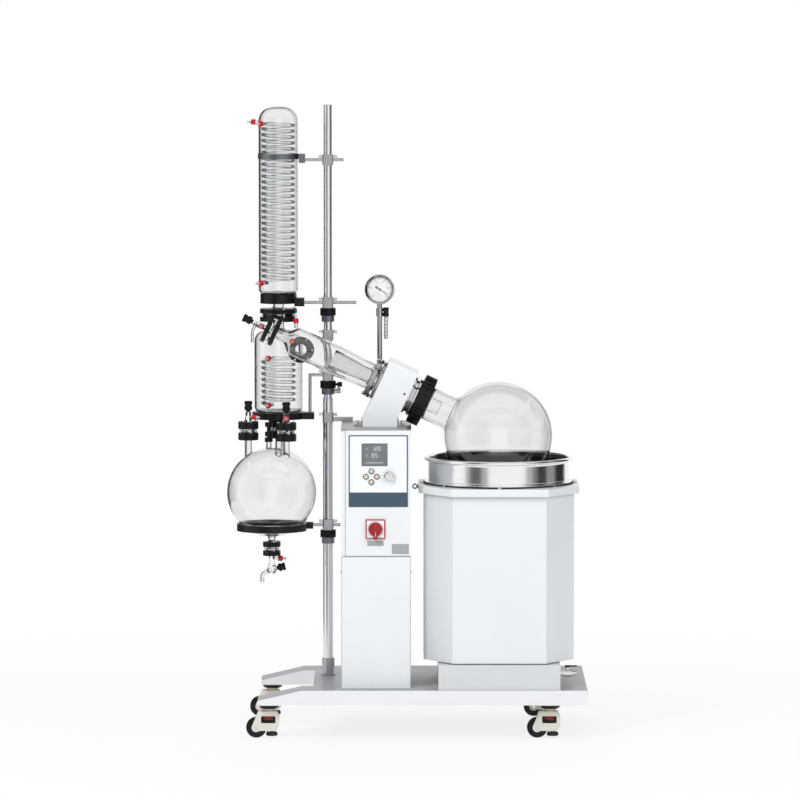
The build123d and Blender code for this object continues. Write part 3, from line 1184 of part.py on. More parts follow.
def bath_pan():
    """Deep stainless pan with a rolled rim and a bead that rests on the seal."""
    place = Pos(BATH_X, BATH_Y, 0)
    inner = PAN_RADIUS - PAN_WALL
    roll = (PAN_RIM_RADIUS - PAN_RADIUS) / 2 + 1
    bead = BATH_PLATE_Z + BATH_PLATE_THICK + SEAL_THICK
    wall = post(BATH_X, BATH_Y, PAN_FLOOR, PAN_RIM_Z, PAN_RADIUS)
    wall = fillet(wall.edges().sort_by(Axis.Z)[0], 20)
    void = post(BATH_X, BATH_Y, PAN_FLOOR + PAN_WALL, PAN_RIM_Z + 1, inner)
    void = fillet(void.edges().sort_by(Axis.Z)[0], 17)
    rim = place * (Pos(0, 0, PAN_RIM_Z - roll) * Torus(PAN_RIM_RADIUS - roll, roll))
    bead_ring = post(BATH_X, BATH_Y, bead, bead + 2, PAN_RADIUS + 11)
    return wall + bead_ring + rim - void


def heater_coil():
    """Ring heater lying on the pan's floor, with two risers to the wall."""
    z = PAN_FLOOR + PAN_WALL + HEATER_TUBE + FIT_GAP
    loop = Pos(BATH_X, BATH_Y, z) * Torus(HEATER_RADIUS, HEATER_TUBE)
    for side in (-15, 15):
        start = (BATH_X + side, BATH_Y + HEATER_RADIUS - 1, z)
        end = (BATH_X + side, BATH_Y + PAN_RADIUS - 26, z)
        loop += bar(start, end, HEATER_TUBE - 1) + Pos(*end) * Sphere(HEATER_TUBE - 1)
        loop += bar(end, (end[0], end[1], z + HEATER_RISE), HEATER_TUBE - 1)
    return loop


def pedestal():
    """Folded stand under the bath with the square guide that the bath's jacket rises round."""
    half = PEDESTAL_WIDTH / 2
    front = -HALF_DEPTH + PEDESTAL_FRONT
    back = 2 * BATH_Y - front
    low_top = DECK_Z + PEDESTAL_HEIGHT
    top = low_top + GUIDE_HEIGHT
    guide = GUIDE_SIZE / 2
    outer = box(BATH_X - half, BATH_X + half, front, back, DECK_Z, low_top)
    outer += box(BATH_X - guide, BATH_X + guide, BATH_Y - guide, BATH_Y + guide, low_top, top)
    inner = box(BATH_X - half + 3, BATH_X + half - 3, front + 3, back - 3, DECK_Z - 1, low_top - 3)
    guide -= 3
    inner += box(BATH_X - guide, BATH_X + guide, BATH_Y - guide, BATH_Y + guide, low_top - 4, top - 3)
    hole = post(BATH_X, BATH_Y, top - 5, top + 1, RAM_RADIUS + LIFT_WALL + FIT_GAP)
    return outer - inner - hole


def lift_column():
    """Outer tube of the lift, standing on the deck."""
    top = DECK_Z + PEDESTAL_HEIGHT + GUIDE_HEIGHT + 20
    tube = post(BATH_X, BATH_Y, DECK_Z, top, RAM_RADIUS + LIFT_WALL)
    tube += post(BATH_X, BATH_Y, DECK_Z, DECK_Z + 8, RAM_RADIUS + LIFT_WALL + 24)
    return tube - post(BATH_X, BATH_Y, DECK_Z + 8, top + 1, RAM_RADIUS + FIT_GAP)


def lift_ram():
    """Ram that carries the pan and the cover's struts."""
    low = DECK_Z + 10
    ram = post(BATH_X, BATH_Y, low, PAN_FLOOR - 6, RAM_RADIUS)
    ram += post(BATH_X, BATH_Y, PAN_FLOOR - 6, PAN_FLOOR, 120)
    reach = BATH_WIDTH / 2 - BATH_INSET - BATH_WALL
    ram += box(BATH_X - reach, BATH_X + reach, BATH_Y - 20, BATH_Y + 20, PAN_FLOOR - 12, PAN_FLOOR - 4)
    return ram


def drain_station():
    """Where the drain pipe leaves the pedestal's right side."""
    return BATH_X + PEDESTAL_WIDTH / 2, -HALF_DEPTH + PEDESTAL_FRONT + DRAIN_SETBACK, DECK_Z + DRAIN_RISE


def bath_drain():
    """Drain valve on the pedestal's right side: pipe, ball valve body, collar and hose spout."""
    x, y, z = drain_station()
    stem = x + DRAIN_STEM_OUT
    collar = x + DRAIN_COLLAR_OUT
    half = DRAIN_BODY_LENGTH / 2
    body = bar((x, y, z), (collar, y, z), DRAIN_PIPE_RADIUS)
    body += bar((stem - half, y, z), (stem + half, y, z), DRAIN_BODY_RADIUS)
    body += post(stem, y, z, z + DRAIN_STEM_RISE, DRAIN_STEM_RADIUS)
    body += bar((collar - DRAIN_COLLAR_LENGTH, y, z), (collar, y, z), DRAIN_COLLAR_RADIUS)
    body += bar((collar, y, z), (collar + SPOUT_LENGTH, y, z), SPOUT_RADIUS)
    return body


def bath_drain_lever():
    """Quarter-turn lever of the bath's drain valve."""
    x, y, z = drain_station()
    x += DRAIN_STEM_OUT
    z += DRAIN_STEM_RISE + RUNNING_GAP
    top = z + DRAIN_LEVER_THICK
    half = DRAIN_STEM_RADIUS - 1
    lever = post(x, y, z, top, DRAIN_STEM_RADIUS + 2)
    lever += box(x - half, x + DRAIN_LEVER_REACH, y - half, y + half, top - 4, top)
    return lever


def neck_cap():
    """Black stopper stack on the receiving flask's small neck."""
    x, y = small_neck()
    top = SMALL_NECK_TOP + STOPPER_HEIGHT
    cap = post(x, y, SMALL_NECK_TOP, top, STOPPER_STEM_RADIUS)
    for z in (SMALL_NECK_TOP, SMALL_NECK_TOP + 18, top - 14):
        cap += post(x, y, z, z + 14, STOPPER_RADIUS)
    return cap


def fasteners():
    """Bolts of the housing flanges with their spacers, bracket bolts and clamp screws."""
    pieces = []
    points = around(6, BACK_FLANGE_RADIUS - 5, 30)
    inner_end = HOUSING_LEFT - BACK_FLANGE_THICK
    pieces += studs(AXIS, ARM_START, inner_end, points, 4)
    pieces += studs(AXIS, BACK_FLANGE_END - 5, BACK_FLANGE_END, points, 5)
    left, right = housing_foot()
    for x in (left - 16, right + 16):
        for y in (-42, 0, 42):
            pieces.append(post(x, AXIS_Y + y, TOP_Z + 5, TOP_Z + 11, 5))
    for z, grips in rod_clamps():
        for side in (-1, 1):
            start = POLE_X + side * (CLAMP_SIZE / 2 - 1)
            pieces.append(bar((start, POLE_Y + 4, z + 9), (start + side * 12, POLE_Y + 4, z + 9), 4.5))
    for x, y in ((CABINET_LEFT, CABINET_FRONT + 30), (CABINET_RIGHT, CABINET_FRONT + 30)):
        way = -1 if x == CABINET_LEFT else 1
        for z in (DECK_Z + 40, SEAM_Z - 50):
            pieces.append(bar((x, y, z), (x + way * 3, y, z), 4))
    return pieces


def build():
    """Every node of the machine by name."""
    nodes = {
        "base_frame": [base_frame()] + caster_plates(),
        "cabinet_shell": cabinet_shell(),
        "control_box": control_box(),
        "control_panel": control_panel(),
        "clear_windows": clear_windows(),
        "switch_plate": switch_plate(),
        "switch_handle": switch_handle(),
        "speed_knob": speed_knob(),
        "housing_mount": housing_mount(),
        "gear_housing": gear_housing(),
        "housing_flanges": housing_flanges(),
        "shaft_bearings": shaft_bearings(),
        "drive_motor": drive_motor(),
        "pinion": pinion(),
        "rotor_sleeve": rotor_sleeve(),
        "lock_ring": lock_ring(),
        "evaporating_flask": evaporating_flask(),
        "vapour_tube": vapour_tube(),
        "vapour_arm": vapour_arm(),
        "main_pole": main_pole(),
        "pole_clamps": pole_clamps(),
        "black_fittings": pole_collars() + [neck_cap(), gauge_valve()],
        "steel_clamps": steel_clamps(),
        "support_rods": support_rods(),
        "support_rings": support_rings(),
        "clamp_lever": clamp_lever(),
        "condenser_jacket": condenser_jacket(),
        "condenser_coil": cooling_coil(MAIN_COIL_BOTTOM, MAIN_COIL_TURNS, MAIN_COIL_RADIUS, MAIN_RADIUS,
                                       MAIN_PORT_TURN),
        "aux_jacket": aux_jacket(),
        "aux_coil": cooling_coil(AUX_COIL_BOTTOM, AUX_COIL_TURNS, AUX_COIL_RADIUS, AUX_RADIUS,
                                 AUX_PORT_TURN),
        "receiver_flask": receiver_flask(),
        "flange_clamps": flange_clamps(),
        "valve_bodies": valve_bodies(),
        "hose_caps": hose_caps(),
        "gauge_case": gauge_case(),
        "gauge_dial": gauge_dial(),
        "gauge_pointer": gauge_pointer(),
        "bath_shell": bath_shell(),
        "bath_plate": bath_plate(),
        "bath_seal": bath_seal(),
        "bath_pan": bath_pan(),
        "heater_coil": heater_coil(),
        "pedestal": pedestal(),
        "lift_column": lift_column(),
        "lift_ram": lift_ram(),
        "bath_drain": bath_drain(),
        "bath_drain_lever": bath_drain_lever(),
        "fasteners": fasteners() + clamp_bolts(),
    }
    nodes.update(knob_nodes())
    for index, (x, y) in enumerate(caster_places(), 1):
        nodes[f"caster_housing_{index}"] = [caster_housing(x, y), caster_jack(x, y)]
        nodes[f"caster_wheel_{index}"] = caster_wheel(x, y)
    return nodes


def main():
    """Write one STEP file per node."""
    os.makedirs("parts", exist_ok=True)
    for name, shape in build().items():
        solids = shape if isinstance(shape, list) else [shape]
        whole = Compound(children=[s for piece in solids for s in piece.solids()])
        export_step(whole, f"parts/{name}.step")


main()
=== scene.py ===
"""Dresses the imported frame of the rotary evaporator: glassware, steel, enamel and the control face."""
import math

import bmesh
import bpy
from bpy.props import FloatProperty, FloatVectorProperty, IntProperty, PointerProperty
from mathutils import Matrix, Vector


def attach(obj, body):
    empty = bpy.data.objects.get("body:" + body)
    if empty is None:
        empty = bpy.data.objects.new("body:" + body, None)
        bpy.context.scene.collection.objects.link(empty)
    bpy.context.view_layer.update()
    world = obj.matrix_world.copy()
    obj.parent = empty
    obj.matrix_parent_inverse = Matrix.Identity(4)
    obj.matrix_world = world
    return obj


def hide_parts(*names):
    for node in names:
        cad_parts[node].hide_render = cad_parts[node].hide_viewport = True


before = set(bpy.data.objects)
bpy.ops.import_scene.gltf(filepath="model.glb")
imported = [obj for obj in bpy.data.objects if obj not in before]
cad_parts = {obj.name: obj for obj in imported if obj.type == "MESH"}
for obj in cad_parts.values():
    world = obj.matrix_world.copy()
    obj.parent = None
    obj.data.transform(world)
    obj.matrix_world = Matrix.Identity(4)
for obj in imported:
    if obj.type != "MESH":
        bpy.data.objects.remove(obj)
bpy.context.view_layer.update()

bl_info = {
    "name": "Rotary Evaporator Dressing",
    "version": (1, 0, 0),
    "blender": (4, 5, 0),
    "location": "View3D > Sidebar > Evaporator",
    "description": "Detailed pieces and finishes for a floor-standing rotary evaporator",
    "category": "Object",
}

# All drawing is in millimetres and becomes metres when a piece is seated.
MM = 0.001
TO_METRES = Matrix.Scale(MM, 4)
CREASE = math.radians(38)
UP, FRONT, BACK, RIGHT, LEFT = (Vector(way) for way in ((0, 0, 1), (0, -1, 0), (0, 1, 0), (1, 0, 0),
                                                        (-1, 0, 0)))

# Places that come from the frame's own drawing.
TILT = math.radians(25)
SPIN_ORIGIN = Vector((49.4, -80, 1040))
SPIN_WAY = Vector((math.cos(TILT), 0, -math.sin(TILT)))
SPIN_UP = Vector((math.sin(TILT), 0, math.cos(TILT)))
CONDENSER = (-402.5, 75)
MAIN_COIL = {"low": 1402, "radius": 48.5, "turns": 27, "wall": 62.7, "angle": 225}
AUX_COIL = {"low": 1018, "radius": 51, "turns": 8, "wall": 76.7, "angle": 250}
COIL_PITCH = 18.6
GLASS_WALL = 4
RECEIVER = (-423.5, 0, 743.8)
RECEIVER_RADIUS = 140.8
RECEIVER_JOINT = 938
RECEIVER_NECKS = ((-496.8, 0), (-376.5, -50), (-402.5, 75))
SMALL_NECK = (-432.5, -6)
DRAIN_CENTRE = Vector((-423.5, 0, 499))
DRAIN_WAY = Vector((math.cos(math.radians(14)), 0, math.sin(math.radians(14))))
SIDE_PORT = Vector((-331, -15, 1196))
ARM_JOINT = -521
ARM_LEFT = -477
ARM_START = -168
DUCT_START = -310
JOINT_LIP = 6
BOLT_CIRCLE = 57
KNOB_RADIUS = 12.6
PAN_SIDES = 128
BATH = (290, -80)
GAUGE = (-83, 20, 1383)
POLE = (-246.5, 75)
PANEL = (-86.5, 833)
DISPLAY = (-98.2, 884)
KEYS = (-108, 816)
SPEED = (-52.5, 816)
MAINS = (-95.5, 652)
BOX_FACE = -267
PANEL_FACE = -268.5
FILM_FIELD = (0.0885, 0.1085)
FILM_FOOT = -0.0665
CASTERS = ((-427, -272), (-427, 272), (449, -272), (449, 272))

# The stage: what the camera frames, and the cards and flags that only the glass or the metal sees.
VIEW_TARGET = Vector((-0.019, 0, 1.0349))
VIEW_WIDTH = 2.52
LAMP_AIM = Vector((0, 0, 0.9))
CARD_RADIUS = 3300
FLAG_RADIUS = 3200
CARD_HEIGHT = 3400
CARD_PANELS = 12


def ink(red, green, blue):
    """Linear colour of a screen colour given from 0 to 255."""
    def straight(c):
        c /= 255
        return c / 12.92 if c <= 0.04045 else ((c + 0.055) / 1.055) ** 2.4
    return (straight(red), straight(green), straight(blue), 1)


def shade(colour, factor, lift=0):
    """A colour made darker or paler."""
    return tuple(min(1, c * factor + lift) for c in colour[:3]) + (1,)


def colour_setting(name, description, default):
    """A colour that a user would change."""
    return FloatVectorProperty(name=name, description=description, subtype="COLOR", size=4, min=0, max=1,
                               default=default)


def length_setting(name, description, default, low, high):
    """A length in metres that a user would change."""
    return FloatProperty(name=name, description=description, subtype="DISTANCE", unit="LENGTH",
                         default=default, min=low, max=high)


class EnamelSettings(bpy.types.PropertyGroup):
    """Sheet metal finish."""
    colour: colour_setting("Enamel", "Colour of the painted sheet metal", ink(233, 235, 237))
    peel: length_setting("Orange peel", "Height of the waves that the sprayed paint dries in", 0.00006, 0,
                         0.001)


class GlassSettings(bpy.types.PropertyGroup):
    """Borosilicate pieces."""
    tint: colour_setting("Tint", "Faint colour of the glass", (0.925, 0.93, 0.933, 1))
    index: FloatProperty(
        name="Index", description="How strongly the glass bends light", default=1.47, min=1, max=2)
    tube_radius: FloatProperty(
        name="Coil tube radius", description="Outer radius of the cooling coils' tube in millimetres",
        default=5.6, min=2, max=8)
    sides: IntProperty(name="Turning steps", description="Flat steps in one turn of a blown vessel", default=96,
                       min=24, max=192)


class SteelSettings(bpy.types.PropertyGroup):
    """Bright metal."""
    colour: colour_setting("Steel", "Colour of the bright steel", ink(236, 237, 239))
    shine: FloatProperty(
        name="Polish", description="Roughness of the polished steel", default=0.12, min=0.02, max=0.6)


class PlasticSettings(bpy.types.PropertyGroup):
    """Moulded pieces."""
    cap: colour_setting("Hose caps", "Colour of the screw caps", ink(198, 34, 32))
    black: colour_setting("Black parts", "Colour of the black mouldings", ink(20, 20, 22))
    band: colour_setting("Panel band", "Colour of the border of the control face", ink(58, 79, 94))


class StageSettings(bpy.types.PropertyGroup):
    """Floor, lamps and camera."""
    floor: colour_setting("Floor", "Colour of the floor", (0.88, 0.88, 0.88, 1))
    distance: length_setting("Camera distance", "How far in front of the machine the camera stands", 20, 5, 60)
    height: length_setting("Camera height", "Height of the camera above the floor", 2.534, 0.1, 6)


class Signal:
    """A shader or geometry socket that adds, multiplies and compares like a number."""

    def __init__(self, desk, socket):
        self.desk = desk
        self.socket = socket

    def maths(self, operation, *others):
        node = self.desk.node("ShaderNodeMath", {"operation": operation}, dict(enumerate((self, *others))))
        return self.desk.signal(node)

    def __add__(self, other):
        return self.maths("ADD", other)

    __radd__ = __add__

    def __mul__(self, other):
        return self.maths("MULTIPLY", other)

    __rmul__ = __mul__

    def __sub__(self, other):
        return self.maths("SUBTRACT", other)

    def __rsub__(self, other):
        return (self * -1) + other

    def __pow__(self, other):
        return self.maths("POWER", other)

    def above(self, level):
        return self.maths("GREATER_THAN", level)

    def below(self, level):
        return self.maths("LESS_THAN", level)

    def size(self):
        return self.maths("ABSOLUTE")

    def wave(self):
        return self.maths("SINE")

    def most(self, other):
        return self.maths("MAXIMUM", other)

    def root(self):
        return self.maths("SQRT")

    def ramp(self, low, high):
        """0 at low, 1 at high, held outside."""
        return self.desk.signal(self.desk.node("ShaderNodeMapRange", {"clamp": True},
                                               {"Value": self, "From Min": low, "From Max": high}))


class Desk:
    """A node tree that is filled by one method."""

    def __init__(self, tree):
        self.tree = tree

    def node(self, kind, settings=None, values=None):
        """One node: its settings first, then its sockets' values or links."""
        node = self.tree.nodes.new(kind)
        for key, value in (settings or {}).items():
            setattr(node, key, value)
        for key, value in (values or {}).items():
            self.feed(self.find(node.inputs, key), value)
        return node

    def find(self, sockets, key):
        """A socket by its place, its identifier or its name."""
        if isinstance(key, int):
            return sockets[key]
        for field in ("identifier", "name"):
            for socket in sockets:
                if socket.enabled and getattr(socket, field) == key:
                    return socket
        return sockets[key]

    def feed(self, socket, value):
        """Link a socket, or set its value."""
        if isinstance(value, Signal):
            value = value.socket
        if isinstance(value, bpy.types.NodeSocket):
            self.tree.links.new(value, socket)
        else:
            socket.default_value = value

    def signal(self, node, key=0):
        return Signal(self, self.find(node.outputs, key))

    def split(self, vector):
        """The three parts of a vector."""
        node = self.node("ShaderNodeSeparateXYZ", None, {0: vector})
        return [self.signal(node, i) for i in range(3)]

    def seen_sharp(self):
        """1 for the camera and for what mirrors and glass show, 0 for light that is scattered."""
        path = self.node("ShaderNodeLightPath")
        seen = self.signal(path, "Is Camera Ray").most(self.signal(path, "Is Glossy Ray"))
        return seen.most(self.signal(path, "Is Transmission Ray"))

    def mixed(self, factor, first, second):
        """The output of two shaders mixed."""
        return self.node("ShaderNodeMixShader", None,
                         {0: factor, 1: first.outputs[0], 2: second.outputs[0]}).outputs[0]


class Finish(Desk):
    """One material of the machine."""

    def __init__(self, name):
        self.material = bpy.data.materials.new(name)
        self.material.use_nodes = True
        super().__init__(self.material.node_tree)
        self.tree.nodes.clear()
        self.where = self.node("ShaderNodeTexCoord").outputs["Object"]
        self.x, self.y, self.z = self.split(self.where)

    def noise(self, scale, detail=3, rough=0.5, stretch=(1, 1, 1)):
        """Even noise from 0 to 1 over the piece, stretched along an axis if asked."""
        mapped = self.node("ShaderNodeMapping", None, {"Vector": self.where, "Scale": stretch})
        node = self.node("ShaderNodeTexNoise", None,
                         {"Vector": mapped.outputs[0], "Scale": scale, "Detail": detail, "Roughness": rough})
        return self.signal(node, "Fac")

    def patches(self, scale, detail=4, rough=0.6, low=0.35, high=0.75):
        """Noise drawn apart into patches."""
        return self.noise(scale, detail, rough).ramp(low, high)

    def blend(self, factor, first, second):
        """A colour between two colours."""
        node = self.node("ShaderNodeMix", {"data_type": "RGBA", "clamp_factor": True},
                         {"Factor_Float": factor, "A_Color": first, "B_Color": second})
        return self.signal(node, "Result_Color")

    def bump(self, height, distance):
        """A normal from a height between 0 and 1."""
        return self.signal(self.node("ShaderNodeBump", None, {"Height": height, "Distance": distance}))

    def worn(self, radius):
        """About 1 on outer edges and 0 on flats, broken up by noise."""
        bevel = self.node("ShaderNodeBevel", {"samples": 4}, {"Radius": radius})
        plain = self.node("ShaderNodeNewGeometry")
        dot = self.node("ShaderNodeVectorMath", {"operation": "DOT_PRODUCT"},
                        {0: bevel.outputs[0], 1: plain.outputs["Normal"]})
        return (1 - self.signal(dot, "Value")).ramp(0.01, 0.25) * self.patches(90, 4, 0.5, 0.45, 0.7)

    def principled(self, **sockets):
        """The surface itself, as the finished material."""
        values = {key.replace("_", " "): value for key, value in sockets.items()}
        return self.out(self.node("ShaderNodeBsdfPrincipled", None, values).outputs[0])

    def out(self, socket):
        """Send a shader out and return the material."""
        self.node("ShaderNodeOutputMaterial", {"target": "ALL"}, {"Surface": socket})
        return self.material


class Garden(Desk):
    """A Geometry Nodes tree with named inputs for its sizes."""

    def __init__(self, name, **sizes):
        tree = bpy.data.node_groups.new(name, "GeometryNodeTree")
        super().__init__(tree)
        tree.is_modifier = True
        tree.interface.new_socket("Geometry", in_out="INPUT", socket_type="NodeSocketGeometry")
        self.sizes = {label: float(value) for label, value in sizes.items()}
        for label in sizes:
            tree.interface.new_socket(label, in_out="INPUT", socket_type="NodeSocketFloat")
        tree.interface.new_socket("Geometry", in_out="OUTPUT", socket_type="NodeSocketGeometry")
        self.entry = self.node("NodeGroupInput")

    def size(self, label):
        return self.signal(self.entry, label)

    def moved(self, geometry, height):
        """A geometry raised along Z."""
        return self.node("GeometryNodeTransform", None,
                         {"Geometry": geometry.outputs[0], "Translation": (0, 0, height)})

    def close(self, geometry, look):
        """Realize, set the material and send the geometry out."""
        real = self.node("GeometryNodeRealizeInstances", None, {"Geometry": geometry})
        painted = self.node("GeometryNodeSetMaterial", None, {"Geometry": real.outputs[0],
                                                              "Material": LOOKS[look]})
        self.node("NodeGroupOutput", None, {0: painted.outputs[0]})

    def grow(self, name, seed_mesh):
        """Run the tree on a mesh and return the plain mesh that it makes."""
        thing = placed_object(name, seed_mesh)
        modifier = thing.modifiers.new("grow", "NODES")
        modifier.node_group = self.tree
        for item in self.tree.interface.items_tree:
            if item.item_type == "SOCKET" and item.in_out == "INPUT" and item.name in self.sizes:
                modifier[item.identifier] = self.sizes[item.name]
        mesh = evaluated_mesh(thing)
        bpy.data.objects.remove(thing)
        return mesh


def placed_object(name, data):
    """A new object of the scene, at the origin."""
    thing = bpy.data.objects.new(name, data)
    bpy.context.scene.collection.objects.link(thing)
    return thing


def evaluated_mesh(thing):
    """Plain mesh of an object with its modifiers applied."""
    bpy.context.view_layer.update()
    graph = bpy.context.evaluated_depsgraph_get()
    return bpy.data.meshes.new_from_object(thing.evaluated_get(graph), depsgraph=graph)


def seat(origin, up=UP, ahead=RIGHT):
    """Matrix that sets a piece drawn in millimetres at an origin, its own Z along up."""
    z = Vector(up).normalized()
    x = Vector(ahead)
    if abs(x.normalized().dot(z)) > 0.95:
        x = BACK
    x = (x - z * x.dot(z)).normalized()
    turn = Matrix((x, z.cross(x), z)).transposed().to_4x4()
    return Matrix.Translation(Vector(origin) * MM) @ turn @ TO_METRES


SPIN = seat(SPIN_ORIGIN, SPIN_WAY, BACK)


def on_spin(s, up=0):
    """A point of the tilted axis, or moved up from it, in millimetres."""
    return SPIN_ORIGIN + SPIN_WAY * s + SPIN_UP * up


def facing(degrees):
    """Direction at an angle from the right, as seen on the machine's face."""
    angle = math.radians(degrees)
    return Vector((math.cos(angle), 0, math.sin(angle)))


def in_plan(degrees):
    """Direction at an angle from the right, as seen from above."""
    angle = math.radians(degrees)
    return Vector((math.cos(angle), math.sin(angle), 0))


def off_spin(degrees):
    """Direction square to the tilted axis, at an angle from straight back."""
    angle = math.radians(degrees)
    return BACK * math.cos(angle) + SPIN_UP * math.sin(angle)


def outward(matrix, degrees):
    """Direction square to a seated piece's own axis."""
    return (matrix.to_3x3() @ in_plan(degrees)).normalized()


def even(count, start=0, full=360):
    """Angles of an even ring, in degrees."""
    return [start + full * i / count for i in range(count)]


def rounded(outline, radii, steps=5):
    """An open or closed outline with its listed corners rounded."""
    result = []
    for i, point in enumerate(outline):
        radius = radii.get(i, 0)
        if radius <= 0:
            result.append(point)
            continue
        here = Vector(point)
        back = Vector(outline[i - 1]) - here
        ahead = Vector(outline[(i + 1) % len(outline)]) - here
        angle = back.angle(ahead)
        if angle > math.pi - 0.02:
            result.append(point)
            continue
        reach = min(radius / math.tan(angle / 2), back.length * 0.49, ahead.length * 0.49)
        true_radius = reach * math.tan(angle / 2)
        between = (back.normalized() + ahead.normalized()).normalized()
        middle = here + between * (true_radius / math.sin(angle / 2))
        start = here + back.normalized() * reach - middle
        end = here + ahead.normalized() * reach - middle
        for step in range(steps + 1):
            share = step / steps
            way = start.slerp(end, share) * start.length
            result.append(tuple(middle + way))
    return result


def arc(centre, radius, first, last, steps):
    """Points of a half section on a circle, angles in degrees from the axis."""
    points = []
    for step in range(steps + 1):
        angle = math.radians(first + (last - first) * step / steps)
        points.append((max(radius * math.sin(angle), 0), centre + radius * math.cos(angle)))
    return points


def lathe(outline, matrix, sides, closed=True):
    """A mesh turned about its own Z from an outline of radius and height."""
    shape = bmesh.new()
    rings = []
    for radius, height in outline:
        if radius < 1e-5:
            rings.append([shape.verts.new((0, 0, height))])
            continue
        rings.append([shape.verts.new((radius * math.cos(angle), radius * math.sin(angle), height))
                      for angle in (math.tau * i / sides for i in range(sides))])
    pairs = list(zip(rings, rings[1:]))
    if closed:
        pairs.append((rings[-1], rings[0]))
    for low, high in pairs:
        if len(low) == 1 and len(high) == 1:
            continue
        for i in range(sides):
            j = (i + 1) % sides
            if len(low) == 1:
                shape.faces.new((low[0], high[i], high[j]))
            elif len(high) == 1:
                shape.faces.new((low[i], low[j], high[0]))
            else:
                shape.faces.new((low[i], low[j], high[j], high[i]))
    bmesh.ops.remove_doubles(shape, verts=shape.verts, dist=1e-5)
    bmesh.ops.recalc_face_normals(shape, faces=shape.faces)
    bmesh.ops.transform(shape, matrix=matrix, verts=shape.verts)
    return shape


def turned(origin, way, outline, sides, radii=None):
    """A turned solid with its outline's corners rounded."""
    return lathe(rounded(outline, radii) if radii else outline, seat(origin, way), sides)


def sleeve(origin, way, radius, bore, start, end, edge=0.8, sides=48):
    """A turned ring with softened edges."""
    outline = [(bore, start), (radius, start), (radius, end), (bore, end)]
    return turned(origin, way, outline, sides, {0: edge * 0.5, 1: edge, 2: edge, 3: edge * 0.5})


def slab(low, high, edge, steps=2):
    """A block between two corners with softened edges."""
    shape = bmesh.new()
    bmesh.ops.create_cube(shape, size=1)
    size = Vector(high) - Vector(low)
    middle = (Vector(high) + Vector(low)) / 2
    for vert in shape.verts:
        vert.co = Vector([c * s for c, s in zip(vert.co, size)]) + middle
    if edge > 0:
        bmesh.ops.bevel(shape, geom=shape.edges[:], offset=edge, segments=steps, profile=0.5, affect="EDGES")
    bmesh.ops.transform(shape, matrix=TO_METRES, verts=shape.verts)
    return shape


def smooth_line(points, steps=6):
    """Points of a smooth curve through the given points."""
    points = [Vector(p) for p in points]
    ends = [points[0] * 2 - points[1]] + points + [points[-1] * 2 - points[-2]]
    line = []
    for a, b, c, d in zip(ends, ends[1:], ends[2:], ends[3:]):
        for step in range(steps):
            t = step / steps
            line.append(0.5 * ((2 * b) + (c - a) * t + (2 * a - 5 * b + 4 * c - d) * t ** 2
                               + (3 * b - a - 3 * c + d) * t ** 3))
    line.append(points[-1])
    return line


def pipe(points, radius, bore, sides):
    """A round tube along points, hollow if it has a bore."""
    shape = bmesh.new()
    normal = None
    loops = []
    for i, point in enumerate(points):
        ahead = (points[min(i + 1, len(points) - 1)] - points[max(i - 1, 0)]).normalized()
        if normal is None:
            normal = ahead.orthogonal().normalized()
        normal = (normal - ahead * normal.dot(ahead)).normalized()
        side = ahead.cross(normal)
        for width in ((radius, bore) if bore else (radius,)):
            loops.append([shape.verts.new(point + (normal * math.cos(angle) + side * math.sin(angle)) * width)
                          for angle in (math.tau * k / sides for k in range(sides))])
    stride = 2 if bore else 1
    pairs = [(loops[i], loops[i + stride]) for i in range(len(loops) - stride)]
    if bore:
        pairs += [(loops[0], loops[1]), (loops[-2], loops[-1])]
    for a, b in pairs:
        for k in range(sides):
            j = (k + 1) % sides
            shape.faces.new((a[k], a[j], b[j], b[k]))
    if not bore:
        shape.faces.new(loops[0])
        shape.faces.new(loops[-1])
    bmesh.ops.recalc_face_normals(shape, faces=shape.faces)
    bmesh.ops.transform(shape, matrix=TO_METRES, verts=shape.verts)
    return shape


def rod(start, end, radius, sides=20):
    """A straight round bar."""
    return pipe([Vector(start), Vector(end)], radius, 0, sides)


def as_mesh(name, shape):
    """Mesh data from a bmesh, which is freed."""
    mesh = bpy.data.meshes.new(name)
    shape.to_mesh(mesh)
    shape.free()
    return mesh


def fuse(name, adds, cuts):
    """Blown glass: joined outer forms less the joined inner forms, as one closed mesh."""
    forms = [placed_object(name + "_part", as_mesh(name + "_part", shape)) for shape in adds + cuts]
    for place, form in enumerate(forms[1:], 1):
        modifier = forms[0].modifiers.new("form", "BOOLEAN")
        modifier.operation = "UNION" if place < len(adds) else "DIFFERENCE"
        modifier.solver = "EXACT"
        modifier.object = form
    result = bmesh.new()
    result.from_mesh(evaluated_mesh(forms[0]))
    for form in forms:
        bpy.data.objects.remove(form)
    return result


def finished(name, parts, body, nodes):
    """One finished piece from shapes and their looks: the body it rides and the nodes it replaces."""
    mesh = bpy.data.meshes.new(name)
    whole = bmesh.new()
    looks = list(dict.fromkeys(look for shape, look in parts))
    for shape, look in parts:
        part = shape if isinstance(shape, bpy.types.Mesh) else as_mesh(name + "_bit", shape)
        before = len(whole.faces)
        whole.from_mesh(part)
        whole.faces.ensure_lookup_table()
        for face in whole.faces[before:]:
            face.material_index = looks.index(look)
            face.smooth = True
    for look in looks:
        mesh.materials.append(LOOKS[look])
    whole.to_mesh(mesh)
    whole.free()
    mesh.set_sharp_from_angle(angle=CREASE)
    thing = placed_object(name, mesh)
    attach(thing, body)
    if nodes:
        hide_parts(*nodes)


def dress(look, *nodes):
    """Give frame nodes a look; their meshes stay as they are."""
    for name in nodes:
        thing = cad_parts[name]
        if not thing.material_slots:
            thing.data.materials.append(LOOKS[look])
        for place in thing.material_slots:
            place.material = LOOKS[look]


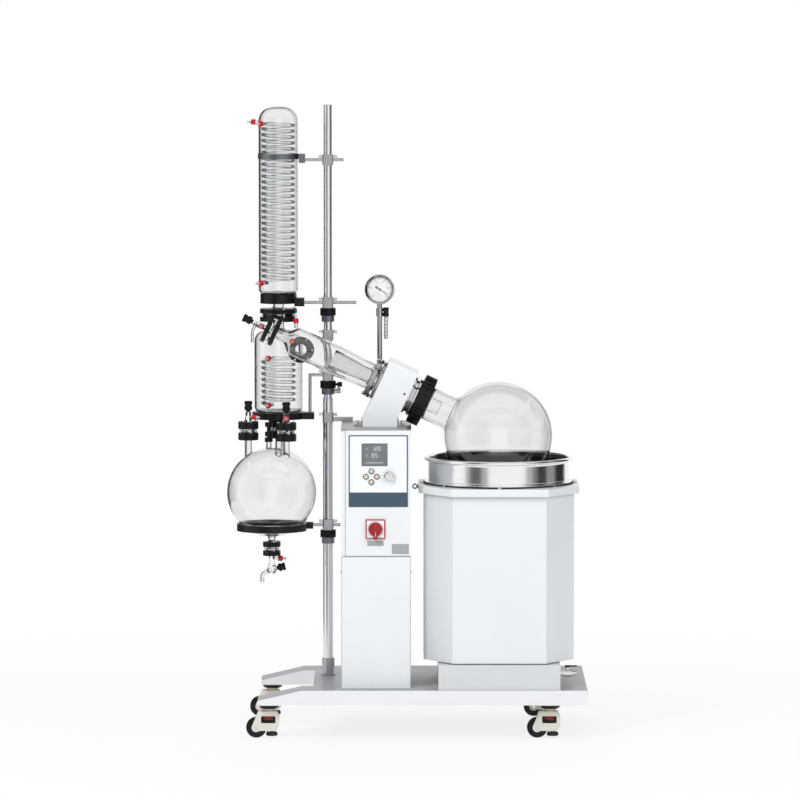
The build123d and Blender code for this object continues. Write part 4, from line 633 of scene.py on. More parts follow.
def enamel(name, colour, peel, low):
    """Sprayed and baked paint: faint waves, a little tone, worn edges and dust near the floor."""
    finish = Finish(name)
    tone = finish.patches(5, 4, 0.55, 0.3, 0.7)
    dust = (1 - finish.z.ramp(low, low + 0.09)) * finish.patches(34, 5)
    worn = finish.worn(0.0016)
    paint = finish.blend(tone * 0.5, colour, shade(colour, 0.94))
    paint = finish.blend(dust * 0.16, paint, ink(178, 174, 166))
    paint = finish.blend(worn * 0.35, paint, ink(190, 191, 192))
    return finish.principled(Base_Color=paint, Roughness=0.33 + tone * 0.06 + dust * 0.2 + worn * 0.1,
                             Normal=finish.bump(finish.noise(420, 2), peel), Coat_Weight=0.15,
                             Coat_Roughness=0.12)


def deck_paint(name, colour, top_shade_colour, peel):
    """Paint of the stand: its upward faces are painted a darker grey as painted shade, and are duller than the
    edges.
    """
    finish = Finish(name)
    tone = finish.patches(5, 4, 0.55, 0.3, 0.7)
    normal = finish.node("ShaderNodeNewGeometry").outputs["Normal"]
    # Upward faces above the floor are painted darker grey: painted shade, broken into blotches.
    top = finish.split(normal)[2].above(0.9) * finish.z.above(0.12)
    top_blotches = finish.patches(14, 5)
    paint = finish.blend(tone * 0.4, colour, shade(colour, 0.94))
    paint = finish.blend(top * (0.85 + top_blotches * 0.15), paint, top_shade_colour)
    paint = finish.blend(finish.worn(0.0016) * 0.35, paint, ink(190, 191, 192))
    return finish.principled(Base_Color=paint, Roughness=0.34 + top * 0.12 + top_blotches * 0.06,
                             Normal=finish.bump(finish.noise(420, 2), peel), Coat_Weight=0.12,
                             Coat_Roughness=0.12)


def steel(name, colour, rough, grain=(1, 1, 1), grain_scale=500, spread=0.1, bump=0.00002):
    """Steel with its grain drawn out along one direction, smears and fine scratches."""
    finish = Finish(name)
    lines = finish.noise(grain_scale, 2, 0.6, grain)
    smear = finish.patches(9)
    tone = finish.blend(lines.ramp(0.3, 0.7) * 0.5 + smear * 0.25, colour, shade(colour, 0.86))
    return finish.principled(Base_Color=tone, Metallic=1, Roughness=rough + lines * spread + smear * 0.05,
                             Normal=finish.bump(lines, bump))


def plastic(name, colour, rough, grain=260, bump=0.00008, wear=0.25, shine=0.5):
    """Moulded plastic: a fine spark-eroded grain, lighter scuffed edges and finger marks."""
    finish = Finish(name)
    grit = finish.noise(grain, 3, 0.6)
    marks = finish.patches(22, 4, 0.6, 0.4)
    paler = shade(colour, 1.25, 0.02)
    tone = finish.blend(finish.worn(0.0012) * wear, finish.blend(marks * 0.2, colour, paler), paler)
    return finish.principled(Base_Color=tone, Roughness=rough + grit * 0.12 - marks * 0.06,
                             Normal=finish.bump(grit, bump), Specular_IOR_Level=shine)


def casting(name, colour, rough):
    """Die-cast and tumbled metal with pits and bright edges."""
    finish = Finish(name)
    pits = finish.noise(700, 4, 0.65)
    tone = finish.patches(30, 4, 0.5, 0.3, 0.7)
    base = finish.blend(tone * 0.6, colour, shade(colour, 0.78))
    base = finish.blend(finish.worn(0.0014) * 0.6, base, ink(205, 206, 208))
    return finish.principled(Base_Color=base, Metallic=0.85, Roughness=rough + pits * 0.16,
                             Normal=finish.bump(pits, 0.00008))


def blown_glass(name, tint, index, waves=0.0003, rim=(0.34, 0.36, 0.37, 1), spread=0.62, fade=None):
    """Clear glass that lets the lamps' light through, with painted shade where it is seen edge on."""
    finish = Finish(name)
    # Base colour goes towards the rim colour where the glass is seen edge on: painted shade standing for the
    # dark surroundings that glass shows there.
    edge = finish.signal(finish.node("ShaderNodeLayerWeight", None, {"Blend": 0.5}), "Facing")
    depth = edge.ramp(spread, 1) ** 1.6
    # Where a fade is given, the painted tint and edge shade stay below its first x and clear to a pale tint
    # past its last x.
    if fade:
        clear = finish.x.ramp(*fade)
        depth = depth * (1 - clear)
        tint = finish.blend(clear, tint, (0.98, 0.982, 0.984, 1))
    haze = finish.patches(60, 4, 0.6, 0.55, 0.85)
    glass = finish.node("ShaderNodeBsdfPrincipled", None, {
        "Base Color": finish.blend(depth, tint, rim), "Roughness": haze * 0.02, "IOR": index,
        "Transmission Weight": 1, "Normal": finish.bump(finish.noise(16, 2), waves)})
    air = finish.node("ShaderNodeBsdfTransparent", None, {0: (0.96, 0.96, 0.96, 1)})
    shadow = finish.node("ShaderNodeLightPath").outputs["Is Shadow Ray"]
    return finish.out(finish.mixed(shadow, glass, air))


def pane(name):
    """Thin flat window: mostly open, with a sheen and faint wipe marks."""
    finish = Finish(name)
    wipes = finish.noise(30, 3, 0.6, (1, 1, 6)).ramp(0.45, 0.8)
    return finish.principled(Base_Color=ink(235, 240, 240), Roughness=0.05 + wipes * 0.05,
                             Alpha=0.1 + wipes * 0.04)


def rubber(name, colour):
    """Black rubber with bloom."""
    finish = Finish(name)
    grit = finish.noise(480, 4, 0.7)
    tone = finish.blend(finish.patches(14, 5, 0.6, 0.4) * 0.4, colour, ink(70, 70, 72))
    return finish.principled(Base_Color=tone, Roughness=0.62 + grit * 0.15, Normal=finish.bump(grit, 0.00015))


def control_film(name, band):
    """Printed film of the control face: a slate border, a white field and a slate band below."""
    finish = Finish(name)
    across = (finish.x - PANEL[0] * MM).size()
    height = finish.z - PANEL[1] * MM
    border = across.above(FILM_FIELD[0]).most(height.size().above(FILM_FIELD[1]))
    dark = border.most(height.below(FILM_FOOT))
    print_tone = finish.noise(900, 2)
    field = finish.blend(finish.patches(20, 3, 0.5, 0.3, 0.7) * 0.3, ink(238, 240, 241), ink(228, 231, 233))
    slate = finish.blend(print_tone * 0.3, band, shade(band, 1.15))
    return finish.principled(Base_Color=finish.blend(dark, field, slate), Roughness=0.3 + print_tone * 0.12,
                             Normal=finish.bump(print_tone, 0.00003))


def lit_display(name):
    """Grey liquid-crystal field with its fine dot lattice."""
    finish = Finish(name)
    dots = ((finish.x * 5200).wave() * (finish.z * 5200).wave()).ramp(-0.2, 0.9)
    cloud = finish.patches(20, 3, 0.5, 0.3, 0.7)
    tone = finish.blend(dots * 0.25 + cloud * 0.3, ink(92, 97, 99), ink(72, 77, 80))
    return finish.principled(Base_Color=tone, Roughness=0.35 + cloud * 0.1)


def print_ink(name, colour):
    """Screen-printed marks."""
    finish = Finish(name)
    grit = finish.noise(1500)
    tone = finish.blend(grit * 0.3, colour, shade(colour, 1.3, 0.01))
    return finish.principled(Base_Color=tone, Roughness=0.4 + grit * 0.1)


LOOKS = {}
EVEN = (1, 1, 1)
ROUND = (0.02, 0.02, 1)

# Look, material, screen colour, roughness, then the grain: stretch, scale, share of the roughness, height.
STEELS = (("rod_steel", "rod_steel", (190, 191, 193), 0.16, EVEN, 240, 0.06, 0.000003),
          ("pan_steel", "pan_steel", (247, 248, 249), 0.13, ROUND, 700, 0.06, 0.000004),
          # The pan's inside is the same steel painted far darker: painted shade.
          ("pan_inner", "pan_inner", (112, 114, 117), 0.16, ROUND, 700, 0.1, 0.000006),
          ("strap", "strap_steel", (132, 136, 144), 0.4, (1, 1, 0.04), 500, 0.1, 0.000006),
          ("bezel", "bezel_steel", (176, 178, 182), 0.07, EVEN, 300, 0.04, 0.000004),
          ("flange_steel", "flange_steel", (178, 179, 181), 0.2, (1, 0.06, 0.06), 600, 0.14),
          ("polished", "polished_steel", (206, 207, 209), 0.08, EVEN, 300, 0.04, 0.000004),
          ("cover_steel", "cover_steel", (176, 178, 180), 0.26, (0.03, 1, 1), 700, 0.14),
          ("chrome", "chrome", (222, 223, 225), 0.06, EVEN, 200, 0.03, 0.000005),
          ("heater_steel", "heater_steel", (120, 112, 104), 0.34, EVEN, 160, 0.14),
          ("bronze", "key_bronze", (66, 54, 42), 0.3, EVEN, 400),
          ("bronze_pale", "swivel_bronze", (186, 172, 140), 0.3, EVEN, 400),
          ("knob_silver", "knob_silver", (236, 237, 238), 0.16))

# Look, material, screen colour, roughness, scale of the grit, its height, wear of the edges, shine.
PLASTICS = (("nylon", "black_nylon", (17, 17, 19), 0.36, 380, 0.00012, 0.12, 0.25),
            ("ring_black", "ring_black", (16, 17, 19), 0.26, 320, 0.00006, 0.12, 0.25),
            ("switch_red", "switch_red", (156, 30, 34), 0.32, 300, 0.00005),
            ("switch_white", "switch_white", (236, 236, 234), 0.35, 300, 0.00005),
            ("cream", "cream_plastic", (222, 217, 208), 0.42, 240, 0.0001),
            ("key", "key_cream", (206, 200, 182), 0.35, 300, 0.00004),
            ("thumb_red", "thumb_red", (122, 18, 22), 0.34, 300, 0.00005),
            ("nipple", "clear_nipple", (196, 200, 204), 0.2, 300, 0.00003))

# Look, material, screen colour.
# The seam grey is painted shade for the box's joints and edges.
INKS = (("tag_grey", "tag_grey", (158, 160, 163)), ("seam_grey", "seam_grey", (128, 132, 136)),
        ("pale_ink", "pale_ink", (226, 232, 232)), ("dark_ink", "dark_ink", (38, 44, 50)),
        ("dial", "dial_white", (240, 240, 238)))


def make_finishes():
    """Every finish of the machine, made from the settings and the tables."""
    scene = bpy.context.scene
    peel = scene.evaporator_enamel.peel
    metal = scene.evaporator_steel
    index = scene.evaporator_glass.index
    moulded = scene.evaporator_plastic
    for maker, rows in ((steel, STEELS), (plastic, PLASTICS), (print_ink, INKS)):
        for look, name, colour, *rest in rows:
            LOOKS[look] = maker(name, ink(*colour), *rest)
    LOOKS.update({
        "enamel": enamel("white_enamel", tuple(scene.evaporator_enamel.colour), peel, 0.12),
        # The deck's darker top colour is painted shade.
        "deck_enamel": deck_paint("deck_enamel", ink(234, 235, 237), ink(146, 148, 151), peel * 1.5),
        # The pedestal's enamel is the white paint made darker: painted shade under the bath.
        "stand_enamel": enamel("stand_enamel", ink(212, 214, 216), peel, 0.15),
        "bath_enamel": enamel("bath_enamel", ink(230, 232, 234), peel, 0.15),
        "pole_steel": steel("pole_steel", tuple(metal.colour), metal.shine, (1, 1, 0.01), 900, 0.04, 0.000003),
        "cast": casting("grey_casting", ink(172, 174, 177), 0.16),
        "black": plastic("black_plastic", tuple(moulded.black), 0.3, wear=0.12, shine=0.22),
        "red": plastic("red_plastic", tuple(moulded.cap), 0.3, 300, 0.00005),
        "rubber": rubber("black_rubber", ink(26, 26, 27)),
        "film": control_film("control_film", tuple(moulded.band)),
        "display": lit_display("lit_display"),
        "pane": pane("window_pane"),
        # Each glass look darkens its edges as painted shade; the duct is also painted greyer where it lies in
        # the arm, clearing towards the drive.
        "glass": blown_glass("blown_glass", tuple(scene.evaporator_glass.tint), index),
        "coil_glass": blown_glass("coil_glass", (0.9, 0.91, 0.92, 1), index, 0.0001,
                                  (0.16, 0.17, 0.18, 1), 0.35),
        "duct_glass": blown_glass("duct_glass", (0.86, 0.865, 0.87, 1), index, 0.0004,
                                  (0.03, 0.033, 0.036, 1), 0.3, (-0.13, -0.03)),
    })


def glass_stub(start, way, length, radius=6, bore=3.6):
    """A short open tube of glass, with its look."""
    return sleeve(start, way, radius, bore, 0, length, 0.5, 24), "glass"


def ball_flask():
    """Outline of the evaporating flask along the tilted axis, outside and inside in one loop."""
    reach, radius, neck = 264, 170, 52.7
    inner = radius - GLASS_WALL
    throat = neck - GLASS_WALL
    meet = math.degrees(math.asin(neck / radius))
    meet_in = math.degrees(math.asin(throat / inner))
    outside = arc(reach, radius, 0, 178 - meet, 56)
    inside = arc(reach, inner, 178 - meet_in, 0, 56)
    neck_top = reach - radius * math.cos(math.radians(meet)) - 10
    return outside + [(neck, neck_top), (neck, 22), (neck + 1.5, 14), (59.4, 8), (60, 6),
                      (60, 0), (59, -2), (throat, -2), (throat, neck_top)] + inside


def jacket_outline(radius, low, high, low_round, high_round):
    """Half outline of an upright jacket: bottom centre, wall, top centre."""
    points = [(0, low)]
    points += [(radius - low_round + low_round * math.sin(a), low + low_round - low_round * math.cos(a))
               for a in (math.radians(90 * i / 8) for i in range(9))]
    points += [(radius - high_round + high_round * math.cos(a), high - high_round + high_round * math.sin(a))
               for a in (math.radians(90 * i / 12) for i in range(13))]
    return points + [(0, high)]


def upright(x, y, outline, sides):
    """A solid turned on an upright axis."""
    return lathe(outline, seat((x, y, 0)), sides)


def post(x, y, low, high, radius, sides=40):
    """An upright round bar."""
    return rod((x, y, low), (x, y, high), radius, sides)


def port_bar(start, end, radius):
    """A round bar along the axis of the arm's side port, between two depths."""
    return rod((SIDE_PORT.x, start, SIDE_PORT.z), (SIDE_PORT.x, end, SIDE_PORT.z), radius, 40)


def coil_top(sizes):
    """Height of a coil's upper end."""
    return sizes["low"] + sizes["turns"] * COIL_PITCH


def coil_mesh(name, sizes, tube):
    """Helix of glass tube from a Geometry Nodes tree, in millimetres about its own axis."""
    garden = Garden(name, Turns=sizes["turns"], Radius=sizes["radius"], Pitch=COIL_PITCH, Tube=tube)
    spiral = garden.node("GeometryNodeCurveSpiral", None, {
        "Resolution": 40, "Rotations": garden.size("Turns"), "Start Radius": garden.size("Radius"),
        "End Radius": garden.size("Radius"), "Height": garden.size("Turns") * garden.size("Pitch")})
    section = garden.node("GeometryNodeCurvePrimitiveCircle", None, {"Resolution": 12,
                                                                     "Radius": garden.size("Tube")})
    swept = garden.node("GeometryNodeCurveToMesh", None, {
        "Curve": spiral.outputs[0], "Profile Curve": section.outputs[0], "Fill Caps": True})
    smooth = garden.node("GeometryNodeSetShadeSmooth", None, {"Geometry": swept.outputs[0]})
    garden.close(smooth.outputs[0], "coil_glass")
    return garden.grow(name, bpy.data.meshes.new(name + "_seed"))


def cooling_coil(name, sizes, node):
    """One cooling coil with leads that run out to the jacket's hose stubs."""
    tube = bpy.context.scene.evaporator_glass.tube_radius
    mesh = coil_mesh(name + "_helix", sizes, tube)
    way = in_plan(sizes["angle"])
    mesh.transform(seat((*CONDENSER, sizes["low"]), UP, way))
    parts = [(mesh, "coil_glass")]
    for middle in (Vector((*CONDENSER, sizes["low"])), Vector((*CONDENSER, coil_top(sizes)))):
        parts.append((rod(middle + way * sizes["radius"], middle + way * (sizes["wall"] - GLASS_WALL - 0.6),
                          tube - 1.2, 16), "coil_glass"))
    finished(name, parts, "stand", (node,))


class EVAPORATOR_OT_coils(bpy.types.Operator):
    """Make both cooling coils inside their jackets"""
    bl_idname = "evaporator.coils"
    bl_label = "Cooling coils"

    def execute(self, context):
        cooling_coil("main_cooling_coil", MAIN_COIL, "condenser_coil")
        cooling_coil("aux_cooling_coil", AUX_COIL, "aux_coil")
        return {"FINISHED"}


def hose_ports():
    """Start, direction and length of every hose stub on the two condensers."""
    rows = []
    for sizes, height, way in ((MAIN_COIL, coil_top(MAIN_COIL), in_plan(MAIN_COIL["angle"])),
                               (MAIN_COIL, MAIN_COIL["low"], in_plan(MAIN_COIL["angle"])),
                               (MAIN_COIL, coil_top(MAIN_COIL) + 4, LEFT),
                               (AUX_COIL, coil_top(AUX_COIL), in_plan(AUX_COIL["angle"])),
                               (AUX_COIL, AUX_COIL["low"], in_plan(AUX_COIL["angle"]))):
        rows.append((Vector((*CONDENSER, height)) + way * (sizes["wall"] - 1), way, 10))
    return rows


def arm_ports():
    """Start, direction and length of the two hose stubs on the arm."""
    return [(on_spin(ARM_LEFT + 42), UP, 59), (on_spin(ARM_LEFT + 30), FRONT, 53)]


class EVAPORATOR_OT_condensers(bpy.types.Operator):
    """Blow the two condenser jackets"""
    bl_idname = "evaporator.condensers"
    bl_label = "Condenser jackets"

    def execute(self, context):
        sides = context.scene.evaporator_glass.sides
        x, y = CONDENSER
        outside = [(47, 1299), (48, 1300), (48, 1304), (46.5, 1305), (21, 1306),
                   (18.5, 1309), (18, 1314), (18, 1356), (20, 1363), (25, 1366)]
        can = jacket_outline(MAIN_COIL["wall"], 1366, 1956.4, 14, 45)[1:]
        void = jacket_outline(MAIN_COIL["wall"] - GLASS_WALL, 1370, 1952.4, 10, 41)[1:-1]
        throat = [(14, 1372), (14, 1299)]
        jacket = upright(x, y, outside + can + [(0, 1952.4)] + void[::-1] + throat, sides)
        stubs = [glass_stub(*port) for port in hose_ports()]
        finished("main_condenser_jacket", [(jacket, "glass")] + stubs[:3], "stand", ("condenser_jacket",))

        can = jacket_outline(AUX_COIL["wall"], 992, 1252, 16, 36)[1:-1]
        outside = [(0, 938), (20, 938), (21, 939), (21, 943), (20, 944), (14, 946),
                   (12, 950), (12, 984), (14, 990), (18, 992)] + can
        outside += [(24, 1252), (19.5, 1255), (18, 1260), (18, 1286), (20, 1291),
                    (46, 1293), (48, 1294.5), (48, 1298), (47, 1299), (0, 1299)]
        inner = [(0, 990), (8, 996)] + jacket_outline(
            AUX_COIL["wall"] - GLASS_WALL, 996, 1248, 12, 32)[1:-1] + [(14, 1248), (0, 1250)]
        shape = fuse("aux_condenser", [upright(x, y, outside, sides), port_bar(40, SIDE_PORT.y, 22),
                                       port_bar(SIDE_PORT.y + 6, SIDE_PORT.y, 31)],
                     [upright(x, y, inner, sides), post(x, y, 1240, 1300, 14), post(x, y, 937, 1000, 8),
                      port_bar(38, -16, 18)])
        finished("aux_condenser_jacket", [(shape, "glass")] + stubs[3:], "stand", ("aux_jacket",))
        return {"FINISHED"}


def arm_section(inset):
    """Outside or inside points of the arm from its foot to its neck."""
    right = ARM_START + 4
    shoulder = ARM_LEFT + 40
    end, middle, neck = 42.5 - inset, 47 - inset, 18 - inset
    points = [(end, right), (end, right - 22)]
    points += [(end + (middle - end) * (1 - math.cos(math.pi * i / 6)) / 2, right - 22 - 108 * i / 6)
               for i in range(1, 7)]
    points.append((middle - 1, shoulder))
    for i in range(1, 13):
        share = i / 12
        ease = (1 - math.cos(math.pi * share)) / 2
        points.append((middle - 1 + (neck - middle + 1) * ease,
                       shoulder + (ARM_LEFT + inset - shoulder) * share))
    points.append((neck, ARM_JOINT + 2))
    return points


class EVAPORATOR_OT_vapour_path(bpy.types.Operator):
    """Blow the arm, the duct through the drive and the round evaporating flask"""
    bl_idname = "evaporator.vapour_path"
    bl_label = "Arm, duct and flask"

    def execute(self, context):
        sides = context.scene.evaporator_glass.sides
        flask = lathe(ball_flask(), SPIN, sides)
        finished("round_evaporating_flask", [(flask, "glass")], "rotor", ("evaporating_flask",))

        start = DUCT_START
        duct = [(30, start), (31, start + 3), (29, start + 34), (24, start + 110), (24, -12),
                (29.9, -12), (29.9, -3), (50, -3), (50, -2), (24, -2), (24, 59), (23, 60),
                (20, 60), (20, start + 110), (25, start + 34), (27, start + 3), (28, start)]
        finished("vapour_duct", [(lathe(duct, SPIN, 64), "duct_glass")], "rotor", ("vapour_tube",))

        outside = [(0, ARM_START), (51, ARM_START), (52, ARM_START + 1), (52, ARM_START + 7),
                   (51, ARM_START + 8), (0, ARM_START + 8)]
        foot = lathe(outside, SPIN, sides)
        body = lathe([(0, ARM_START + 4)] + arm_section(0) + [(0, ARM_JOINT + 2)], SPIN, sides)
        lip = lathe([(0, ARM_JOINT), (33.5, ARM_JOINT), (34.5, ARM_JOINT + 1), (34.5, ARM_JOINT + 5),
                     (33.5, ARM_JOINT + 6), (0, ARM_JOINT + 6)], SPIN, sides)
        inside = arm_section(GLASS_WALL)
        void = lathe([(0, ARM_START + 12), (38.5, ARM_START + 12)] + inside[:-1]
                     + [(14, ARM_JOINT - 2), (0, ARM_JOINT - 2)], SPIN, sides)
        arm = fuse("glass_arm", [body, foot, lip, port_bar(SPIN_ORIGIN.y + 4, SIDE_PORT.y, 22),
                                 port_bar(SIDE_PORT.y - 6, SIDE_PORT.y, 31)],
                   [void, port_bar(SPIN_ORIGIN.y + 4, SIDE_PORT.y + 1, 18)])
        parts = [(arm, "glass")]
        for start, way, length in arm_ports():
            parts.append(glass_stub(start + way * 44, way, length - 44))
        finished("tilted_glass_arm", parts, "stand", ("vapour_arm",))
        return {"FINISHED"}


class EVAPORATOR_OT_receiver(bpy.types.Operator):
    """Blow the receiving flask with its five necks"""
    bl_idname = "evaporator.receiver"
    bl_label = "Receiving flask"

    def execute(self, context):
        sides = context.scene.evaporator_glass.sides
        x, y, z = RECEIVER
        radius = RECEIVER_RADIUS
        outside = arc(z, radius, 0, 172, 64)
        low = [(16, 604.4), (12.6, 599), (12, 594), (12, 576), (13, 573), (16, 571), (17, 570),
               (17, 566), (16, 565), (0, 565)]
        ball = upright(x, y, outside + low, sides)
        void = upright(x, y, arc(z, radius - GLASS_WALL, 0, 176, 64) + [(8, 604), (8, 564), (0, 564)], sides)
        adds = [ball]
        cuts = [void]
        for nx, ny in RECEIVER_NECKS:
            adds.append(post(nx, ny, z + radius * 0.78, RECEIVER_JOINT, 12, 32))
            adds.append(post(nx, ny, RECEIVER_JOINT - 6, RECEIVER_JOINT, 21))
            cuts.append(post(nx, ny, z + radius * 0.7, RECEIVER_JOINT + 2, 8, 28))
        adds.append(post(*SMALL_NECK, z + radius * 0.8, 903, 9, 28))
        cuts.append(post(*SMALL_NECK, z + radius * 0.7, 905, 6, 24))
        flask = fuse("receiver", adds, cuts)
        finished("round_receiving_flask", [(flask, "glass")], "stand", ("receiver_flask",))
        return {"FINISHED"}


def valve_rows():
    """Base, direction and length of the three straight valves."""
    return [(Vector((*neck, RECEIVER_JOINT)), UP, 59) for neck in RECEIVER_NECKS[:2]] \
        + [(on_spin(ARM_JOINT), SPIN_WAY * -1, 62)]


def side_stubs():
    """Start and direction of the capped side stubs on the valves."""
    left, front = (Vector((*neck, 982)) for neck in RECEIVER_NECKS[:2])
    return [(left, Vector((0.77, -0.64, 0)).normalized()), (front, FRONT), (on_spin(ARM_JOINT - 34), FRONT),
            (DRAIN_CENTRE + Vector((0, 0, 35)), RIGHT)]


def cap_rows():
    """Start and direction of every screw cap."""
    rows = [(start + way * 10, way) for start, way, length in hose_ports()]
    rows += [(start + way * length, way) for start, way, length in arm_ports()]
    rows += [(start + way * 20, way) for start, way in side_stubs()]
    return rows


class EVAPORATOR_OT_valves(bpy.types.Operator):
    """Make the glass bodies of the valves, the drain spout, the feed tube and the hose nipples"""
    bl_idname = "evaporator.valves"
    bl_label = "Glass valves"

    def execute(self, context):
        parts = []
        for base, way, length in valve_rows():
            outline = [(0, 0), (20, 0), (21, 1), (21, 5), (20, 6), (11, 7), (9, 10), (9, length * 0.45),
                       (10.5, length * 0.5), (10.5, length * 0.7), (9, length * 0.76), (9, length), (0, length)]
            parts.append((turned(base, way, outline, 36), "glass"))
        outline = [(0, 66), (16, 66), (17, 65), (17, 61), (16, 60), (10.5, 59), (9, 56),
                   (9, 18), (11, 14), (15, 6), (15, -6), (11, -12), (0, -15)]
        parts.append((turned(DRAIN_CENTRE, UP, outline, 36), "glass"))
        parts.append((turned(DRAIN_CENTRE, DRAIN_WAY, [(0, 4), (11, 4), (11, 16), (0, 16)], 32), "glass"))
        spout = [DRAIN_CENTRE + RIGHT * right + UP * up
                 for right, up in ((0, 0), (-16, -7), (-27, -14), (-30, -24), (-30, -40))]
        parts.append((pipe(smooth_line(spout), 6.6, 4.4, 24), "glass"))
        start = on_spin(ARM_JOINT - 52)
        elbow = on_spin(ARM_JOINT - 52, -26)
        feed = [start, on_spin(ARM_JOINT - 52, -14), elbow, elbow + Vector((-1, 0, -12)),
                elbow + Vector((-1, 0, -36))]
        parts.append((pipe(smooth_line(feed), 4.8, 3, 20), "glass"))
        for start, way in side_stubs():
            parts.append(glass_stub(start + way * 7, way, 13, 5, 3))
        for start, way in cap_rows():
            tip = start + way * 15
            outline = [(2.4, 0), (4, 0), (4, 2), (3.4, 2.6), (3.9, 5.4), (3.4, 6), (3.9, 8.8), (3.4, 9.4),
                       (3, 12), (2.4, 12)]
            parts.append((turned(tip, way, outline, 24), "nipple"))
        finished("glass_valve_bodies", parts, "stand", ("valve_bodies",))
        return {"FINISHED"}


def spots_mesh(name, rows):
    """A seed of points, each with a turn and a stretch for the thing that grows on it."""
    mesh = bpy.data.meshes.new(name)
    mesh.from_pydata([tuple(row[0]) for row in rows], [], [])
    turn = mesh.attributes.new("turn", "FLOAT_VECTOR", "POINT")
    stretch = mesh.attributes.new("stretch", "FLOAT_VECTOR", "POINT")
    for i, (_, way, ahead, size) in enumerate(rows):
        z = Vector(way).normalized()
        x = Vector(ahead)
        x = (x - z * x.dot(z)).normalized()
        matrix = Matrix((x, z.cross(x), z)).transposed()
        turn.data[i].vector = matrix.to_euler()
        stretch.data[i].vector = size
    return mesh


def grown_on(name, rows, garden, shape, look):
    """A plain mesh in metres of one shape repeated on points given in millimetres, with its look."""
    turn = garden.node("GeometryNodeInputNamedAttribute", {"data_type": "FLOAT_VECTOR"}, {"Name": "turn"})
    stretch = garden.node("GeometryNodeInputNamedAttribute", {"data_type": "FLOAT_VECTOR"}, {"Name": "stretch"})
    rotation = garden.node("FunctionNodeEulerToRotation", None, {0: garden.signal(turn, "Attribute")})
    placed = garden.node("GeometryNodeInstanceOnPoints", None, {
        "Points": garden.entry.outputs[0], "Instance": shape, "Rotation": rotation.outputs[0],
        "Scale": garden.signal(stretch, "Attribute")})
    garden.close(placed.outputs[0], look)
    mesh = garden.grow(name, spots_mesh(name + "_spots", rows))
    mesh.transform(TO_METRES)
    return mesh, look


def socket_screws(name, rows):
    """Heads with a rounded edge and a hex socket: point, direction, head radius and height in each row."""
    points = [(point, way, way.orthogonal(), (radius, radius, height)) for point, way, radius, height in rows]
    heads = Garden(name + "_head", Sides=20, Chamfer=0.14)
    low = heads.moved(heads.node("GeometryNodeMeshCylinder", None, {
        "Vertices": heads.size("Sides"), "Radius": 1, "Depth": 0.8}), 0.4)
    high = heads.moved(heads.node("GeometryNodeMeshCone", None, {
        "Vertices": heads.size("Sides"), "Radius Bottom": 1, "Radius Top": 1 - heads.size("Chamfer"),
        "Depth": 0.2}), 0.8)
    both = heads.node("GeometryNodeJoinGeometry")
    for half in (low, high):
        heads.tree.links.new(half.outputs[0], both.inputs[0])
    hexes = Garden(name + "_hex", Across=0.52)
    hexagon = hexes.moved(hexes.node("GeometryNodeMeshCylinder", None, {
        "Vertices": 6, "Radius": hexes.size("Across"), "Depth": 0.3}), 0.87)
    return [grown_on(name + "_heads", points, heads, both.outputs[0], "chrome"),
            grown_on(name + "_hexes", points, hexes, hexagon.outputs[0], "dark_ink")]


def ribs_round(name, origin, way, radius, start, end, count, width, depth, look):
    """Raised ribs round a turned piece, parallel to its axis."""
    garden = Garden(name, Width=width, Depth=depth)
    size = garden.node("ShaderNodeCombineXYZ", None, {0: garden.size("Depth"), 1: garden.size("Width"), 2: 1})
    cube = garden.node("GeometryNodeMeshCube", None, {"Size": size.outputs[0]})
    matrix = seat(origin, way)
    axis = Vector(way).normalized()
    middle = Vector(origin) + axis * (start + end) / 2
    rows = []
    for angle in even(count):
        out = outward(matrix, angle)
        rows.append((middle + out * radius, axis, out, (1, 1, end - start)))
    return grown_on(name + "_ribs", rows, garden, cube.outputs[0], look)


def bars(name, rows, look):
    """Flat bars, one for each row of point, directions and size."""
    garden = Garden(name, Length=1)
    size = garden.node("ShaderNodeCombineXYZ", None, {0: garden.size("Length"), 1: 1, 2: 1})
    cube = garden.node("GeometryNodeMeshCube", None, {"Size": size.outputs[0]})
    return grown_on(name, rows, garden, cube.outputs[0], look)


def joint_rows():
    """Every clamped glass joint: centre, direction, ring radius, bore and ring thickness."""
    return [(on_spin(ARM_JOINT), SPIN_WAY, 45.5, 18, 14), (SIDE_PORT, BACK, 42, 22, 11),
            (Vector((*CONDENSER, 1299)), UP, 59, 18, 14)] \
        + [(Vector((*neck, RECEIVER_JOINT)), UP, 32, 12, 23) for neck in RECEIVER_NECKS] \
        + [(Vector((*RECEIVER[:2], 565)), UP, 28, 12, 16)]


class EVAPORATOR_OT_joints(bpy.types.Operator):
    """Make the black clamp rings of the glass joints"""
    bl_idname = "evaporator.joints"
    bl_label = "Joint clamps"

    def execute(self, context):
        parts = []
        for index, (centre, way, radius, bore, thick) in enumerate(joint_rows()):
            for low in (-JOINT_LIP - thick, JOINT_LIP):
                waist = thick * 0.22
                outline = [(bore + 0.2, low), (radius, low), (radius, low + thick * 0.36),
                           (radius - 1.6, low + thick * 0.36 + waist * 0.3),
                           (radius - 1.6, low + thick * 0.64 - waist * 0.3), (radius, low + thick * 0.64),
                           (radius, low + thick), (bore + 0.2, low + thick)]
                parts.append((turned(centre, way, outline, 56, {1: 1.5, 2: 0.5, 5: 0.5, 6: 1.5}), "ring_black"))
                parts.append(ribs_round(f"joint_{index}_{int(low)}", centre, way, radius - 1.5,
                                        low + thick * 0.36, low + thick * 0.64, 12, 5, 2.6, "ring_black"))
        spokes = [(SIDE_PORT + facing(angle) * 32.5 + FRONT * 17.6, FRONT, facing(angle), (15, 2.6, 2.4))
                  for angle in even(18, 10)]
        parts.append(bars("side_joint_spokes", spokes, "ring_black"))
        finished("joint_clamp_rings", parts, "stand", ("flange_clamps",))
        return {"FINISHED"}


